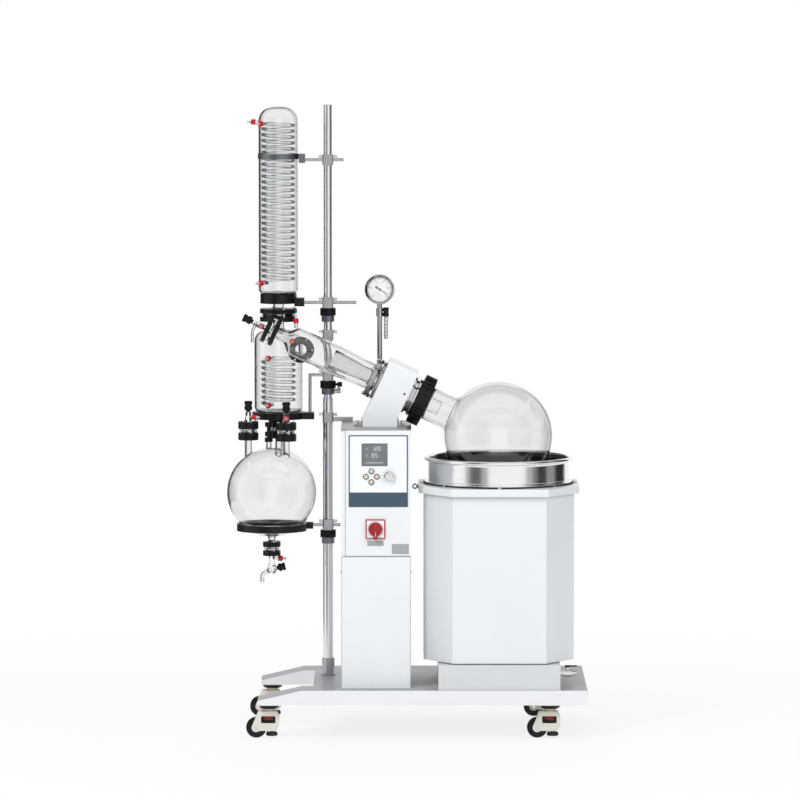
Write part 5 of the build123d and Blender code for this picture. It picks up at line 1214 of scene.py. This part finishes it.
def bolt_rows():
    """Bolt heads of the machine: point, direction, radius and height."""
    rows = []
    for centre, way, radius, _, thick in joint_rows():
        for angle in even(4, 20):
            out = outward(seat(centre, way), angle)
            rows.append((centre + out * (radius - 6) + way * (JOINT_LIP + thick), way, 4.6, 3))
    for angle in even(6):
        rows.append((SIDE_PORT + facing(angle) * 36 + FRONT * 17, FRONT, 3.6, 3))
    for angle in even(6, 30):
        rows.append((on_spin(-177) + outward(SPIN, angle) * BOLT_CIRCLE, SPIN_WAY * -1, 5, 5))
    return rows


class EVAPORATOR_OT_caps_and_knobs(bpy.types.Operator):
    """Make the red hose caps and the black valve knobs"""
    bl_idname = "evaporator.caps_and_knobs"
    bl_label = "Caps and knobs"

    def execute(self, context):
        parts = []
        for index, (start, way) in enumerate(cap_rows()):
            outline = [(0, 0), (8.3, 0), (8.5, 1), (8.5, 3), (7.7, 3.4), (7.7, 12.6), (6.4, 15), (0, 15)]
            parts.append((turned(start, way, outline, 32, {5: 0.8, 6: 0.8}), "red"))
            parts.append(ribs_round(f"cap_{index}", start, way, 7.8, 3.6, 12.2, 16, 1.3, 1.4, "red"))
        finished("red_hose_caps", parts, "stand", ("hose_caps",))
        rows = [(base + way * length, way, 35) for base, way, length in valve_rows()]
        rows.append((DRAIN_CENTRE + DRAIN_WAY * 16, DRAIN_WAY, 28))
        radius = KNOB_RADIUS
        for name, (base, way, length) in zip(("inlet", "vent", "feed", "drain"), rows):
            groove = length * 0.55
            outline = [(0, 0.4), (radius * 0.55, 0.4), (radius * 0.55, 6), (radius - 1.2, 6),
                       (radius - 0.6, groove), (radius - 2.5, groove + 0.6), (radius - 2.5, groove + 3.4),
                       (radius - 1.2, groove + 4), (radius - 1.2, length), (0, length)]
            shape = turned(base, way, outline, 40, {3: 1, 4: 0.8, 7: 0.8, 8: 1.6})
            grips = [ribs_round(name + part, base, way, radius - 1.1, low, high, 20, 1.7, 1.8, "black")
                     for part, low, high in (("_grip", 7.5, groove - 1.5), ("_top", groove + 5, length - 1.6))]
            finished(name + "_valve_knob", [(shape, "black")] + grips, name + "_valve", (name + "_knob",))
        return {"FINISHED"}


class EVAPORATOR_OT_drive(bpy.types.Operator):
    """Make the fluted lock ring, the stepped flanges of the drive and the heads of the flange bolts"""
    bl_idname = "evaporator.drive"
    bl_label = "Lock ring, flanges and bolts"

    def execute(self, context):
        cap = [(42.6, -47), (62, -47), (62, -40.5), (60.6, -39.5), (56, -39.5), (55, -38.5), (55, -31),
               (56, -30), (60, -30), (61, -29), (61, -23), (58, -19.6), (42.6, -19.6)]
        inner = [(42.6, -154), (61, -154), (62, -153), (62, -146), (61, -145.2), (42.6, -145.2)]
        outer = [(42.8, -177), (61, -177), (62, -176), (62, -164), (61, -163), (42.8, -163)]
        spacers = [(sleeve(SPIN_ORIGIN + off_spin(angle) * BOLT_CIRCLE, SPIN_WAY, 6.4, 4.2, -165, -157),
                    "black") for angle in even(6, 30)]
        finished("drive_flanges", [(lathe(cap, SPIN, 96), "polished"), (lathe(inner, SPIN, 96), "flange_steel"),
                                   (lathe(outer, SPIN, 96), "flange_steel")] + spacers, "stand",
                 ("housing_flanges",))
        screw = [(0, 0), (3.2, 0), (3.2, 1.4), (2.2, 2.2), (1.2, 2.2), (1.1, 1.4), (0, 1.4)]
        finished("housing_screw", [(turned((-4.9, -155, 1065.3), FRONT, screw, 24), "black")],
                 "stand", ())
        body = [(53.8, 8), (53.8, 19), (75, 19), (77.5, 16.5), (77.5, 4), (76, 3), (76, -3),
                (77.5, -4), (77.5, -16.5), (75, -19), (54, -19), (54, -15), (60.2, -15), (60.2, 8)]
        parts = [(lathe(rounded(body, {2: 2, 3: 1, 8: 1, 9: 2}), SPIN, 96), "nylon")]
        rows = []
        for angle in even(12, 15):
            for side in (-1, 1):
                out = off_spin(angle + side * math.degrees(0.098))
                rows.append((SPIN_ORIGIN + out * 75.8, SPIN_WAY, out, (9, 6.82, 37)))
        parts.append(bars("lock_lug_grid", rows, "nylon"))
        finished("fluted_lock_ring", parts, "rotor", ("lock_ring",))
        finished("bolt_heads", socket_screws("bolt", bolt_rows()), "stand", ())
        return {"FINISHED"}


class EVAPORATOR_OT_fittings(bpy.types.Operator):
    """Make the ribbed pole collars, the small neck's stopper and the hose valve beside the gauge's post"""
    bl_idname = "evaporator.fittings"
    bl_label = "Collars and small fittings"

    def execute(self, context):
        parts = []
        for index, (z, bore) in enumerate(((1297, 13.4), (1067, 13.4), (594, 15.9))):
            ring = [(bore, z), (23.5, z), (25, z + 1.5), (25, z + 5), (23.4, z + 6), (23.4, z + 18),
                    (25, z + 19), (25, z + 22.5), (23.5, z + 24), (bore, z + 24)]
            parts.append((turned((*POLE, 0), UP, ring, 64), "black"))
            parts.append(ribs_round(f"collar_{index}", (*POLE, 0), UP, 23.6, z + 6, z + 18, 24, 2.6,
                                    2, "black"))
        screw = [(0, 21), (4, 21), (4, 29), (8, 30), (8, 43), (6.6, 44.5), (0, 44.5)]
        parts.append((turned((*POLE, 1079), RIGHT, screw, 32), "black"))
        x, y = SMALL_NECK
        stack = [(0, 903.2), (12, 903.2), (12, 917), (6, 917.6), (6, 920.4), (12, 921), (12, 935),
                 (6, 935.6), (6, 950.4), (12, 951), (12, 964), (11, 965), (0, 965)]
        parts.append((upright(x, y, stack, 40), "black"))
        parts.append(ribs_round("stopper", (x, y, 0), UP, 12, 904.5, 916, 18, 1.8, 1.4, "black"))
        x, y = GAUGE[0] + 20, GAUGE[1]
        block = [(0, 1297), (8, 1297), (9, 1298), (9, 1309), (7.6, 1310), (7.6, 1313), (9, 1314),
                 (9, 1325), (8, 1326), (0, 1326)]
        parts.append((upright(x, y, block, 32), "black"))
        barbs = [(3, 1227), (6, 1227)]
        for low in range(1231, 1297, 11):
            barbs += [(6.2, low), (8, low + 5.4), (6, low + 6)]
        barbs += [(6, 1297), (3, 1297)]
        parts.append((upright(x, y, barbs, 32), "chrome"))
        finished("collars_and_fittings", parts, "stand", ("black_fittings",))
        latch = Vector((*BATH, 769.5)) + LEFT * 251
        hook = [(rod(latch + Vector((-1, -9, 0)), latch + Vector((-1, 9, 0)), 3.4), "black"),
                (slab(latch + Vector((-1.6, -12, -9)), latch + Vector((0.6, 12, 9)), 0.6), "chrome")]
        loop = [latch + LEFT * 11 + facing(angle) * 7.4 for angle in even(24) + [0]]
        hook.append((pipe(loop, 1.7, 0, 12), "chrome"))
        for height in (7, -7):
            hook.append((rod(latch + Vector((-11, -8, height)), latch + Vector((-11, 8, height)), 2), "black"))
        finished("bath_latch", hook, "bath", ())
        return {"FINISHED"}


class EVAPORATOR_OT_pole(bpy.types.Operator):
    """Turn the stepped pole"""
    bl_idname = "evaporator.pole"
    bl_label = "Pole"

    def execute(self, context):
        x, y = POLE
        outline = [(0, 154), (15.8, 154), (15.8, 1037), (13.3, 1037), (13.3, 1963), (0, 1963)]
        shape = turned((x, y, 0), UP, outline, 72, {2: 0.8, 3: 0.4, 4: 1.5})
        finished("stepped_pole", [(shape, "pole_steel")], "stand", ("main_pole",))
        return {"FINISHED"}


# Which strokes each digit lights, and where each stroke lies: share across, share up, whether it is level.
SEGMENTS = {"0": "abcdef", "1": "bc", "2": "abged", "3": "abgcd", "4": "fgbc", "5": "afgcd", "6": "afgedc",
            "7": "abc", "8": "abcdefg", "9": "abcfgd"}
STROKES = {"a": (0.5, 1, True), "b": (1, 0.75, False), "c": (1, 0.25, False), "d": (0.5, 0, True),
           "e": (0, 0.25, False), "f": (0, 0.75, False), "g": (0.5, 0.5, True)}


def digit_rows(text, x, z, width, height, y):
    """Strokes of a row of seven-stroke digits, left to right."""
    rows = []
    for letter in text:
        for stroke in SEGMENTS[letter]:
            across, up, flat = STROKES[stroke]
            point = (x + across * width, y, z + up * height)
            size = (width * 0.86, 0.4, height * 0.11) if flat else (height * 0.11, 0.4, height * 0.42)
            rows.append((point, UP, RIGHT, size))
        x += width * 1.55
    return rows


class EVAPORATOR_OT_control_face(bpy.types.Operator):
    """Make the display's characters, the round keys, the dial scale and both switches"""
    bl_idname = "evaporator.control_face"
    bl_label = "Control face"

    def execute(self, context):
        front = PANEL_FACE - 0.25
        x, z = DISPLAY
        back = slab((x - 38.7, BOX_FACE - 0.9, z - 33.7), (x + 38.7, BOX_FACE - 0.35, z + 33.7), 0)
        characters = []
        for text, left, low, width, height in (("120", -8, 13, 6.5, 12), ("65", -8, -8, 6.5, 12),
                                               ("11", -30, 15, 3.6, 7), ("17", -30, -6, 3.6, 7)):
            characters += digit_rows(text, x + left, z + low, width, height, BOX_FACE - 1.1)
        for i in range(9):
            characters.append(((x - 24 + i * 6, BOX_FACE - 1.1, z - 25), UP, RIGHT, (3.6, 0.3, 2.2)))
        parts = [(back, "display"), bars("display_characters", characters, "pale_ink")]
        border = [((x, front, z + side * 34.6), UP, RIGHT, (80, 0.4, 1.4)) for side in (1, -1)] \
            + [((x + side * 39.6, front, z), UP, RIGHT, (1.4, 0.4, 70)) for side in (-1, 1)]
        parts.append(bars("display_frame", border, "dark_ink"))
        kx, kz = KEYS
        for dx, dz in ((0, 1), (-1, 0), (1, 0), (0, -1)):
            place = (kx + dx * 17, PANEL_FACE, kz + dz * 17)
            rim = [(6.6, 2.4), (9, 2.4), (9.1, 3.2), (8.2, 3.9), (7.2, 3.9), (6.6, 3.2)]
            parts.append((turned(place, FRONT, rim, 40), "bronze"))
            cap = [(0, 2.6), (6.7, 2.6), (6.7, 3.2), (5.6, 3.9), (3, 4.2), (0, 4.3)]
            parts.append((turned(place, FRONT, cap, 36), "key"))
        sx, sz = SPEED
        ticks = [(Vector((sx, front, sz)) + facing(angle) * 22, FRONT, facing(angle), (4.2, 0.8, 0.3))
                 for angle in range(225, -46, -27)]
        parts.append(bars("speed_scale", ticks, "dark_ink"))
        for low_x, high_x, low_z, high_z in ((-120.7, -70.3, 599.8, 615.2), (-44.2, 8.2, 574.8, 605.2)):
            parts.append((slab((low_x, BOX_FACE - 1.7, low_z), (high_x, BOX_FACE + 0.2, high_z), 0.4, 1),
                          "tag_grey"))
        # Dark grey strips along the box's joints and down the lower column's side edges: the joints are real,
        # and their dark grey is painted shade of the steps there.
        seams = [((-188.4, BOX_FACE + 2, 764), UP, RIGHT, (1.2, 2.4, 392)),
                 ((-93.5, -270.2, 565.6), UP, RIGHT, (215, 0.6, 1.8)),
                 ((-200.6, -270.2, 360), UP, RIGHT, (1, 0.6, 408)),
                 ((13.6, -270.2, 360), UP, RIGHT, (1, 0.6, 408))]
        parts.append(bars("box_seams", seams, "seam_grey"))
        finished("control_face_details", parts, "stand", ())

        base = (sx, PANEL_FACE, sz)
        skirt = [(0, 0.4), (16.2, 0.4), (17, 1.2), (17, 3.2), (15.6, 4.2), (13.6, 4.6), (12.8, 6), (12.2, 14.6),
                 (11, 16), (9.6, 16), (9.2, 15.4), (0, 15.4)]
        knob = [(turned(base, FRONT, skirt, 56, {7: 0.6}), "knob_silver"),
                ribs_round("speed_grip", base, FRONT, 12.6, 5.4, 14.6, 28, 1, 1.2, "knob_silver"),
                (rod((sx, BOX_FACE + 16, sz), (sx, PANEL_FACE, sz), 3), "knob_silver")]
        mark = [((sx, PANEL_FACE - 3.8, sz + 14.9), FRONT, UP, (3.4, 1, 1.2)),
                ((sx, PANEL_FACE - 15.7, sz + 5), FRONT, UP, (7.4, 1.2, 0.6))]
        knob.append(bars("speed_mark", mark, "dark_ink"))
        finished("ribbed_speed_knob", knob, "dial", ("speed_knob",))

        mx, mz = MAINS
        plate = slab((mx - 30.5, BOX_FACE - 6, mz - 30.5), (mx + 30.5, BOX_FACE - 0.1, mz + 30.5), 2.2, 3)
        field = slab((mx - 27, BOX_FACE - 6.3, mz - 27), (mx + 27, BOX_FACE - 5.6, mz + 27), 0.25, 1)
        scale = [(Vector((mx, BOX_FACE - 6.36, mz)) + facing(angle) * 24.4, FRONT, facing(angle),
                  (1.6 if angle % 90 else 3, 0.7, 0.2)) for angle in range(0, 360, 15)]
        finished("mains_switch_plate",
                 [(plate, "switch_red"), (field, "switch_white"), bars("mains_scale", scale, "dark_ink")],
                 "stand", ("switch_plate",))
        base = (mx, BOX_FACE - 6.4, mz)
        hub = [(0, 0), (21.6, 0), (22, 1), (21.6, 6.6), (19.6, 8.4), (14, 9.4), (0, 9.6)]
        grip = slab((mx - 6, BOX_FACE - 26, mz - 31.5), (mx + 6, BOX_FACE - 7, mz + 19.5), 2.6, 3)
        handle = [(turned(base, FRONT, hub, 56), "switch_red"), (grip, "switch_red"),
                  ribs_round("switch_grip", base, FRONT, 21.2, 1, 6.6, 32, 1.8, 1.4, "switch_red"),
                  (rod((mx, BOX_FACE + 16, mz), (mx, BOX_FACE - 7, mz), 3), "switch_red"),
                  bars("switch_line", [((mx, BOX_FACE - 26.1, mz - 15), FRONT, UP,
                                        (13, 1.2, 0.3))], "switch_white")]
        finished("mains_switch_handle", handle, "switch", ("switch_handle",))
        return {"FINISHED"}


class EVAPORATOR_OT_gauge(bpy.types.Operator):
    """Make the vacuum gauge: rolled bezel, scaled face and pointer"""
    bl_idname = "evaporator.gauge"
    bl_label = "Vacuum gauge"

    def execute(self, context):
        x, y, z = GAUGE
        front = y - 15
        back = Vector((x, y + 15, z))
        case = [(0, 0), (38, 0), (44, 1.2), (46, 5), (46, 20), (47, 21), (47, 27), (45.6, 29.4),
                (43, 30), (41.2, 28.6), (41, 20.1), (0, 20)]
        gasket = [(38.9, 21), (41.1, 21), (41.3, 28.4), (40.2, 28.6), (38.9, 21.6)]
        finished("gauge_bezel_case", [(turned(back, FRONT, case, 72), "bezel"),
                                      (turned(back, FRONT, gasket, 72), "black")], "stand", ("gauge_case",))
        face = front + 10
        dial = turned((x, face, z), FRONT, [(2.1, -0.1), (40.9, -0.1), (40.9, 2), (2.1, 2)], 72)
        ink_face = Vector((x, face - 2.05, z))
        rows = []
        for i in range(51):
            out = facing(225 - 5.4 * i)
            size = (7, 1.4, 0.2) if i % 10 == 0 else ((5, 0.9, 0.2) if i % 5 == 0 else (3, 0.5, 0.2))
            rows.append((ink_face + out * (37.4 - size[0] / 2), FRONT, out, size))
        for i in range(60):
            out = facing(225 - 270 * i / 59)
            rows.append((ink_face + out * 37.4, FRONT, out, (0.6, 3.2, 0.2)))
        for i in range(6):
            spot = ink_face + facing(225 - 54 * i) * 26.5
            rows += digit_rows(str(i * 2), spot.x - 1.9, spot.z - 3, 3.2, 6, spot.y)
        aim = facing(-33)
        pivot = Vector((x, face - 3, z))
        arms = [(pivot + aim * 10, FRONT, aim, (38, 2, 0.7)), (pivot - aim * 11.5, FRONT, aim, (9, 6, 0.7))]
        hub = turned(pivot, FRONT, [(0, -1), (3.6, -1), (3.6, 1.2), (2, 2), (0, 2)], 32)
        finished("gauge_needle", [bars("needle_arms", arms, "black"), (hub, "black")],
                 "needle", ("gauge_pointer",))
        finished("gauge_scaled_face", [(dial, "dial"), bars("gauge_scale", rows, "dark_ink")], "stand",
                 ("gauge_dial",))
        return {"FINISHED"}


class EVAPORATOR_OT_bath(bpy.types.Operator):
    """Turn the stainless pan, its seal and the small clips below its bead"""
    bl_idname = "evaporator.bath"
    bl_label = "Bath pan"

    def execute(self, context):
        x, y = BATH
        floor = 599
        outer = [(0, floor), (203, floor), (215, floor + 6), (221, floor + 20), (221, 785.9), (232, 786.1),
                 (232, 788), (222, 788.6), (221, 792), (221.4, 793), (221.4, 796), (221.4, 846), (221.4, 848)]
        roll = [(227.2 + 6.5 * math.cos(a), 858.4 + 6.5 * math.sin(a))
                for a in (math.radians(-120 + 300 * i / 16) for i in range(17))]
        inner = [(218.4, 850), (218.2, 846), (218, 800), (218, floor + 20), (211, floor + 7), (203, floor + 3),
                 (0, floor + 3)]
        outside = lathe(outer + roll, seat((x, y, 0)), PAN_SIDES, False)
        inside = lathe([roll[-1]] + inner, seat((x, y, 0)), PAN_SIDES, False)
        # The inside takes the darker steel look: painted shade inside the pan.
        finished("rolled_rim_pan", [(outside, "pan_steel"), (inside, "pan_inner")], "bath",
                 ("bath_pan",))
        clips = []
        for out in map(in_plan, even(8)):
            clips.append((Vector((x, y, 783.4)) + out * 240, UP, out, (9, 10, 4.4)))
            clips.append((Vector((x, y, 787.2)) + out * 235.4, UP, out, (12, 8, 1.8)))
        finished("pan_clips", [bars("pan_clip_tabs", clips, "polished")], "bath", ())
        seal = [(221.2, 781.1), (235, 781.1), (236, 782.2), (236, 784.8), (235, 785.8), (221.2, 785.8)]
        finished("pan_seal_ring", [(upright(x, y, seal, PAN_SIDES), "rubber")], "bath",
                 ("bath_seal",))
        return {"FINISHED"}


def prism(outline, x, y, half, edge):
    """A plate cut to an outline of x and z, half its thickness either side of y, with softened edges."""
    shape = bmesh.new()
    front = [shape.verts.new((x + px, y - half, pz)) for px, pz in outline]
    back = [shape.verts.new((x + px, y + half, pz)) for px, pz in outline]
    shape.faces.new(front)
    shape.faces.new(list(reversed(back)))
    for i in range(len(front)):
        j = (i + 1) % len(front)
        shape.faces.new((front[j], front[i], back[i], back[j]))
    rims = [e for e in shape.edges if abs(e.verts[0].co.y - e.verts[1].co.y) < 1e-6]
    bmesh.ops.bevel(shape, geom=rims, offset=edge, segments=2, profile=0.5, affect="EDGES")
    bmesh.ops.recalc_face_normals(shape, faces=shape.faces)
    bmesh.ops.transform(shape, matrix=TO_METRES, verts=shape.verts)
    return shape


def cast_housing(index, x, y):
    """Cheeks, red thumb wheel, screw, foot and swivel head of one levelling caster."""
    outline = [(-54, 36.6), (-33.5, 84), (23, 84), (31.5, 68), (31.5, 40), (23, 24), (-30.5, 24),
               (-35.3, 19.8), (-41, 18.5), (-46.7, 19.8), (-51.3, 23.3), (-54.2, 28.5), (-54.8, 33)]
    cheeks = prism(rounded(outline, {1: 6, 2: 8, 3: 7, 4: 7, 5: 6}, 4), x, y, 22, 1.2)
    window = slab((x - 25, y - 40, 47), (x + 20, y + 40, 69), 3)
    tread = rod((x - 40, y - 13.6, 32), (x - 40, y + 13.6, 32), 35, 40)
    body = fuse(f"caster_{index}", [cheeks], [window, tread])
    thumb = [(0, 56.4), (21, 56.4), (22.6, 57.8), (22.6, 67.4), (21, 68.8), (0, 68.8)]
    parts = [(body, "cream"), (slab((x - 12, y - 19.5, 46.4), (x + 21, y + 19.5, 69.6), 0), "black"),
             (slab((x - 26, y - 19.5, 58), (x - 10, y + 19.5, 69.6), 0), "black"),
             *((slab((x - 26, y + near, 46.4), (x - 10, y + near + 5.5, 60), 0), "black")
               for near in (-19.5, 14)), (turned((x - 2, y, 0), UP, thumb, 48), "thumb_red"),
             ribs_round(f"thumb_{index}", (x - 2, y, 0), UP, 22.6, 57.4, 68, 20, 3.6, 3.2, "thumb_red"),
             (upright(x, y, [(0, 18), (6, 18), (6, 52), (0, 52)], 24), "chrome"),
             (turned((x + 8, y, 0), UP, [(0, 6), (16, 6), (18, 8), (18, 14), (15, 18), (0, 18)], 40), "rubber"),
             (upright(x, y, [(0, 83.5), (19, 83.5), (19, 92), (0, 92)], 40), "bronze_pale"),
             (upright(x, y, [(0, 92), (26, 92), (31, 97), (31, 102.6), (0, 102.6)], 40), "black"),
             (turned((x - 40, y, 32), BACK, [(0, -23.4), (5.4, -23.4), (6, -22), (6, 22), (5.4, 23.4),
                                             (0, 23.4)], 24), "chrome")]
    finished(f"caster_cheeks_{index}", parts, f"caster_{index}", (f"caster_housing_{index}",))


class EVAPORATOR_OT_casters(bpy.types.Operator):
    """Make the levelling casters: round-topped housings, red thumb wheels, feet and rollers"""
    bl_idname = "evaporator.casters"
    bl_label = "Levelling casters"

    def execute(self, context):
        for index, (x, y) in enumerate(CASTERS, 1):
            axle = Vector((x - 40, y, 32))
            wheel = [(5.1, -12), (28, -12), (31, -10.6), (32, -8), (32, -2.4), (31.2, -1.8), (31.2, 1.8),
                     (32, 2.4), (32, 8), (31, 10.6), (28, 12), (5.1, 12)]
            hub = [(5.2, -12.05), (5.2, 12.05), (13, 12.05), (14, 11.4), (14, -11.4), (13, -12.05)]
            finished(f"caster_roller_{index}", [(turned(axle, BACK, wheel, 48), "nylon"),
                                                (turned(axle, BACK, hub, 32), "black")], f"wheel_{index}",
                     (f"caster_wheel_{index}",))
            cast_housing(index, x, y)
        return {"FINISHED"}


class EVAPORATOR_OT_finishes(bpy.types.Operator):
    """Give every frame piece that stays its own finish"""
    bl_idname = "evaporator.finishes"
    bl_label = "Finishes of the frame"

    def execute(self, context):
        dress("enamel", "cabinet_shell", "control_box", "gear_housing")
        dress("deck_enamel", "base_frame")
        dress("stand_enamel", "pedestal")
        dress("bath_enamel", "bath_shell", "bath_plate")
        dress("film", "control_panel")
        dress("pane", "clear_windows")
        dress("cover_steel", "housing_mount")
        dress("flange_steel", "rotor_sleeve", "shaft_bearings", "pinion")
        dress("cast", "pole_clamps")
        dress("strap", "steel_clamps")
        dress("rod_steel", "support_rods", "clamp_lever", "lift_column", "lift_ram")
        dress("black", "drive_motor")
        dress("ring_black", "support_rings")
        dress("chrome", "fasteners", "bath_drain")
        dress("black", "bath_drain_lever")
        dress("heater_steel", "heater_coil")
        return {"FINISHED"}


def curtain(first, last, radius):
    """An upright curved card round the machine between two angles from the right side, in degrees."""
    shape = bmesh.new()
    pairs = []
    for angle in even(CARD_PANELS, first, last - first) + [last]:
        foot = in_plan(angle) * radius
        pairs.append([shape.verts.new(foot + UP * z) for z in (0, CARD_HEIGHT)])
    for (a, b), (c, d) in zip(pairs, pairs[1:]):
        shape.faces.new((a, c, d, b))
    bmesh.ops.transform(shape, matrix=TO_METRES, verts=shape.verts)
    return shape


# Name, first and last angle, grey, whether metal and gloss see it. Glass sees it where they don't.
CARDS = (("left_card", 110, 168, 34, False), ("right_card", 15, 70, 34, False),
         ("front_left_card", 195, 250, 34, False), ("front_right_card", 290, 345, 34, False),
         ("left_flag", 112, 170, 84, True), ("front_left_flag", 228, 247, 84, True),
         ("right_flag_1", 316, 327, 180, True), ("right_flag_2", 327, 335, 118, True),
         ("right_flag_3", 335, 351, 34, True), ("right_flag_4", 351, 369, 150, True),
         ("right_flag_5", 369, 398, 24, True), ("soft_flag_1", 220, 228, 180, True),
         ("soft_flag_2", 247, 258, 180, True))

# Name, near and far edge in depth, whether glass sees it.
OVERHEAD = (("overhead_flag", 700, 3300, True), ("front_strip", -2100, -1200, False))

# Name, place, width, height and power.
LAMPS = (("key_lamp", (-2.6, -4.4, 4.2), 1.3, 3.8, 172), ("fill_lamp", (4, -3.4, 2.6), 0.9, 3.4, 72),
         ("rear_lamp", (0.5, 4.2, 4.4), 3, 3, 90))


def hang_card(name, shape, material, glossy, through):
    """A card that only reflections or glass can see."""
    mesh = as_mesh(name, shape)
    mesh.materials.append(material)
    card = placed_object(name, mesh)
    card.visible_camera = card.visible_diffuse = card.visible_shadow = False
    card.visible_glossy = glossy
    card.visible_transmission = through


def lay_floor(colour):
    """The floor: it takes shadows near the machine and is plain white further out."""
    shape = lathe([(0, -2), (30000, -2), (30000, 0), (0, 0)], seat((0, 0, -0.4)), 96)
    mesh = as_mesh("floor", shape)
    floor = placed_object("floor", mesh)
    finish = Finish("pale_floor")
    tone = finish.blend(finish.patches(3, 3, 0.5, 0.3, 0.7) * 0.2, colour, shade(colour, 0.985))
    diffuse = finish.node("ShaderNodeBsdfDiffuse", None, {"Color": tone})
    glow = finish.node("ShaderNodeEmission", None, {"Color": (1, 1, 1, 1), "Strength": 1})
    far = (finish.x * finish.x + finish.y * finish.y).root().ramp(0.9, 3.2)
    share = (far * 0.2 + 0.8) * finish.seen_sharp()
    mesh.materials.append(finish.out(finish.mixed(share, diffuse, glow)))


def light_room():
    """A soft even room that looks white, and three lamps that no reflection shows."""
    world = bpy.data.worlds.new("soft_room")
    world.use_nodes = True
    world.node_tree.nodes.clear()
    desk = Desk(world.node_tree)
    room = desk.node("ShaderNodeBackground", None, {"Color": (0.96, 0.98, 1, 1), "Strength": 0.55})
    white = desk.node("ShaderNodeBackground", None, {"Color": (1, 1, 1, 1), "Strength": 1})
    desk.node("ShaderNodeOutputWorld", None, {"Surface": desk.mixed(desk.seen_sharp(), room, white)})
    bpy.context.scene.world = world
    for name, place, size, tall, watts in LAMPS:
        data = bpy.data.lights.new(name, "AREA")
        data.shape = "RECTANGLE"
        data.size = size
        data.size_y = tall
        data.energy = watts
        lamp = placed_object(name, data)
        lamp.location = place
        lamp.visible_glossy = lamp.visible_transmission = False
        lamp.rotation_euler = (LAMP_AIM - Vector(place)).to_track_quat("-Z", "Y").to_euler()


class EVAPORATOR_OT_stage(bpy.types.Operator):
    """Lay the pale floor, hang the soft lamps and set the camera at the photograph's angle"""
    bl_idname = "evaporator.stage"
    bl_label = "Stage"

    def execute(self, context):
        scene = context.scene
        settings = scene.evaporator_stage
        lay_floor(tuple(settings.floor))
        light_room()
        cloth = {}
        for grey in (24, 34, 84, 118, 150, 180):
            dark = Finish(f"card_{grey}")
            tone = dark.blend(dark.noise(4, 2), ink(grey, grey, grey), ink(grey + 8, grey + 8, grey + 9))
            cloth[grey] = dark.principled(Base_Color=tone, Roughness=1)
        for name, first, last, grey, glossy in CARDS:
            radius = FLAG_RADIUS if glossy else CARD_RADIUS
            hang_card(name, curtain(first, last, radius), cloth[grey], glossy, not glossy)
        for name, near, far, through in OVERHEAD:
            hang_card(name, slab((-2600, near, 3500), (2600, far, 3510), 0), cloth[34], True, through)

        eye = Vector((VIEW_TARGET.x, -settings.distance, settings.height))
        lens_data = bpy.data.cameras.new("photo_camera")
        lens_data.lens = lens_data.sensor_width * (VIEW_TARGET - eye).length / VIEW_WIDTH
        lens_data.clip_end = 200
        camera = placed_object("photo_camera", lens_data)
        camera.location = eye
        camera.rotation_euler = (VIEW_TARGET - eye).to_track_quat("-Z", "Y").to_euler()
        scene.camera = camera
        scene.view_settings.view_transform = "Standard"
        return {"FINISHED"}


PIECES = (EVAPORATOR_OT_stage, EVAPORATOR_OT_finishes, EVAPORATOR_OT_condensers, EVAPORATOR_OT_coils,
          EVAPORATOR_OT_vapour_path, EVAPORATOR_OT_receiver, EVAPORATOR_OT_valves, EVAPORATOR_OT_joints,
          EVAPORATOR_OT_caps_and_knobs, EVAPORATOR_OT_drive, EVAPORATOR_OT_fittings, EVAPORATOR_OT_pole,
          EVAPORATOR_OT_control_face, EVAPORATOR_OT_gauge, EVAPORATOR_OT_bath, EVAPORATOR_OT_casters)
GROUPS = {"evaporator_enamel": EnamelSettings, "evaporator_glass": GlassSettings,
          "evaporator_steel": SteelSettings, "evaporator_plastic": PlasticSettings,
          "evaporator_stage": StageSettings}


class EVAPORATOR_PT_pieces(bpy.types.Panel):
    """Lists the machine's settings and pieces"""
    bl_label = "Rotary evaporator"
    bl_idname = "EVAPORATOR_PT_pieces"
    bl_space_type = "VIEW_3D"
    bl_region_type = "UI"
    bl_category = "Evaporator"

    def draw(self, context):
        for key in GROUPS:
            group = getattr(context.scene, key)
            box = self.layout.box()
            for name in group.bl_rna.properties.keys():
                if name not in ("rna_type", "name"):
                    box.prop(group, name)
        for piece in PIECES:
            self.layout.operator(piece.bl_idname)


def register():
    """Register the settings, the operators and the panel."""
    for name, group in GROUPS.items():
        bpy.utils.register_class(group)
        setattr(bpy.types.Scene, name, PointerProperty(type=group))
    for piece in PIECES + (EVAPORATOR_PT_pieces,):
        bpy.utils.register_class(piece)


def unregister():
    """Take them away again."""
    for piece in reversed(PIECES + (EVAPORATOR_PT_pieces,)):
        bpy.utils.unregister_class(piece)
    for name, group in GROUPS.items():
        delattr(bpy.types.Scene, name)
        bpy.utils.unregister_class(group)


def main():
    """Make every piece in order."""
    register()
    make_finishes()
    for piece in PIECES:
        group, name = piece.bl_idname.split(".")
        result = getattr(getattr(bpy.ops, group), name)()
        if result != {"FINISHED"}:
            raise RuntimeError(piece.bl_label + " wasn't finished")


if __name__ == "__main__":
    main()
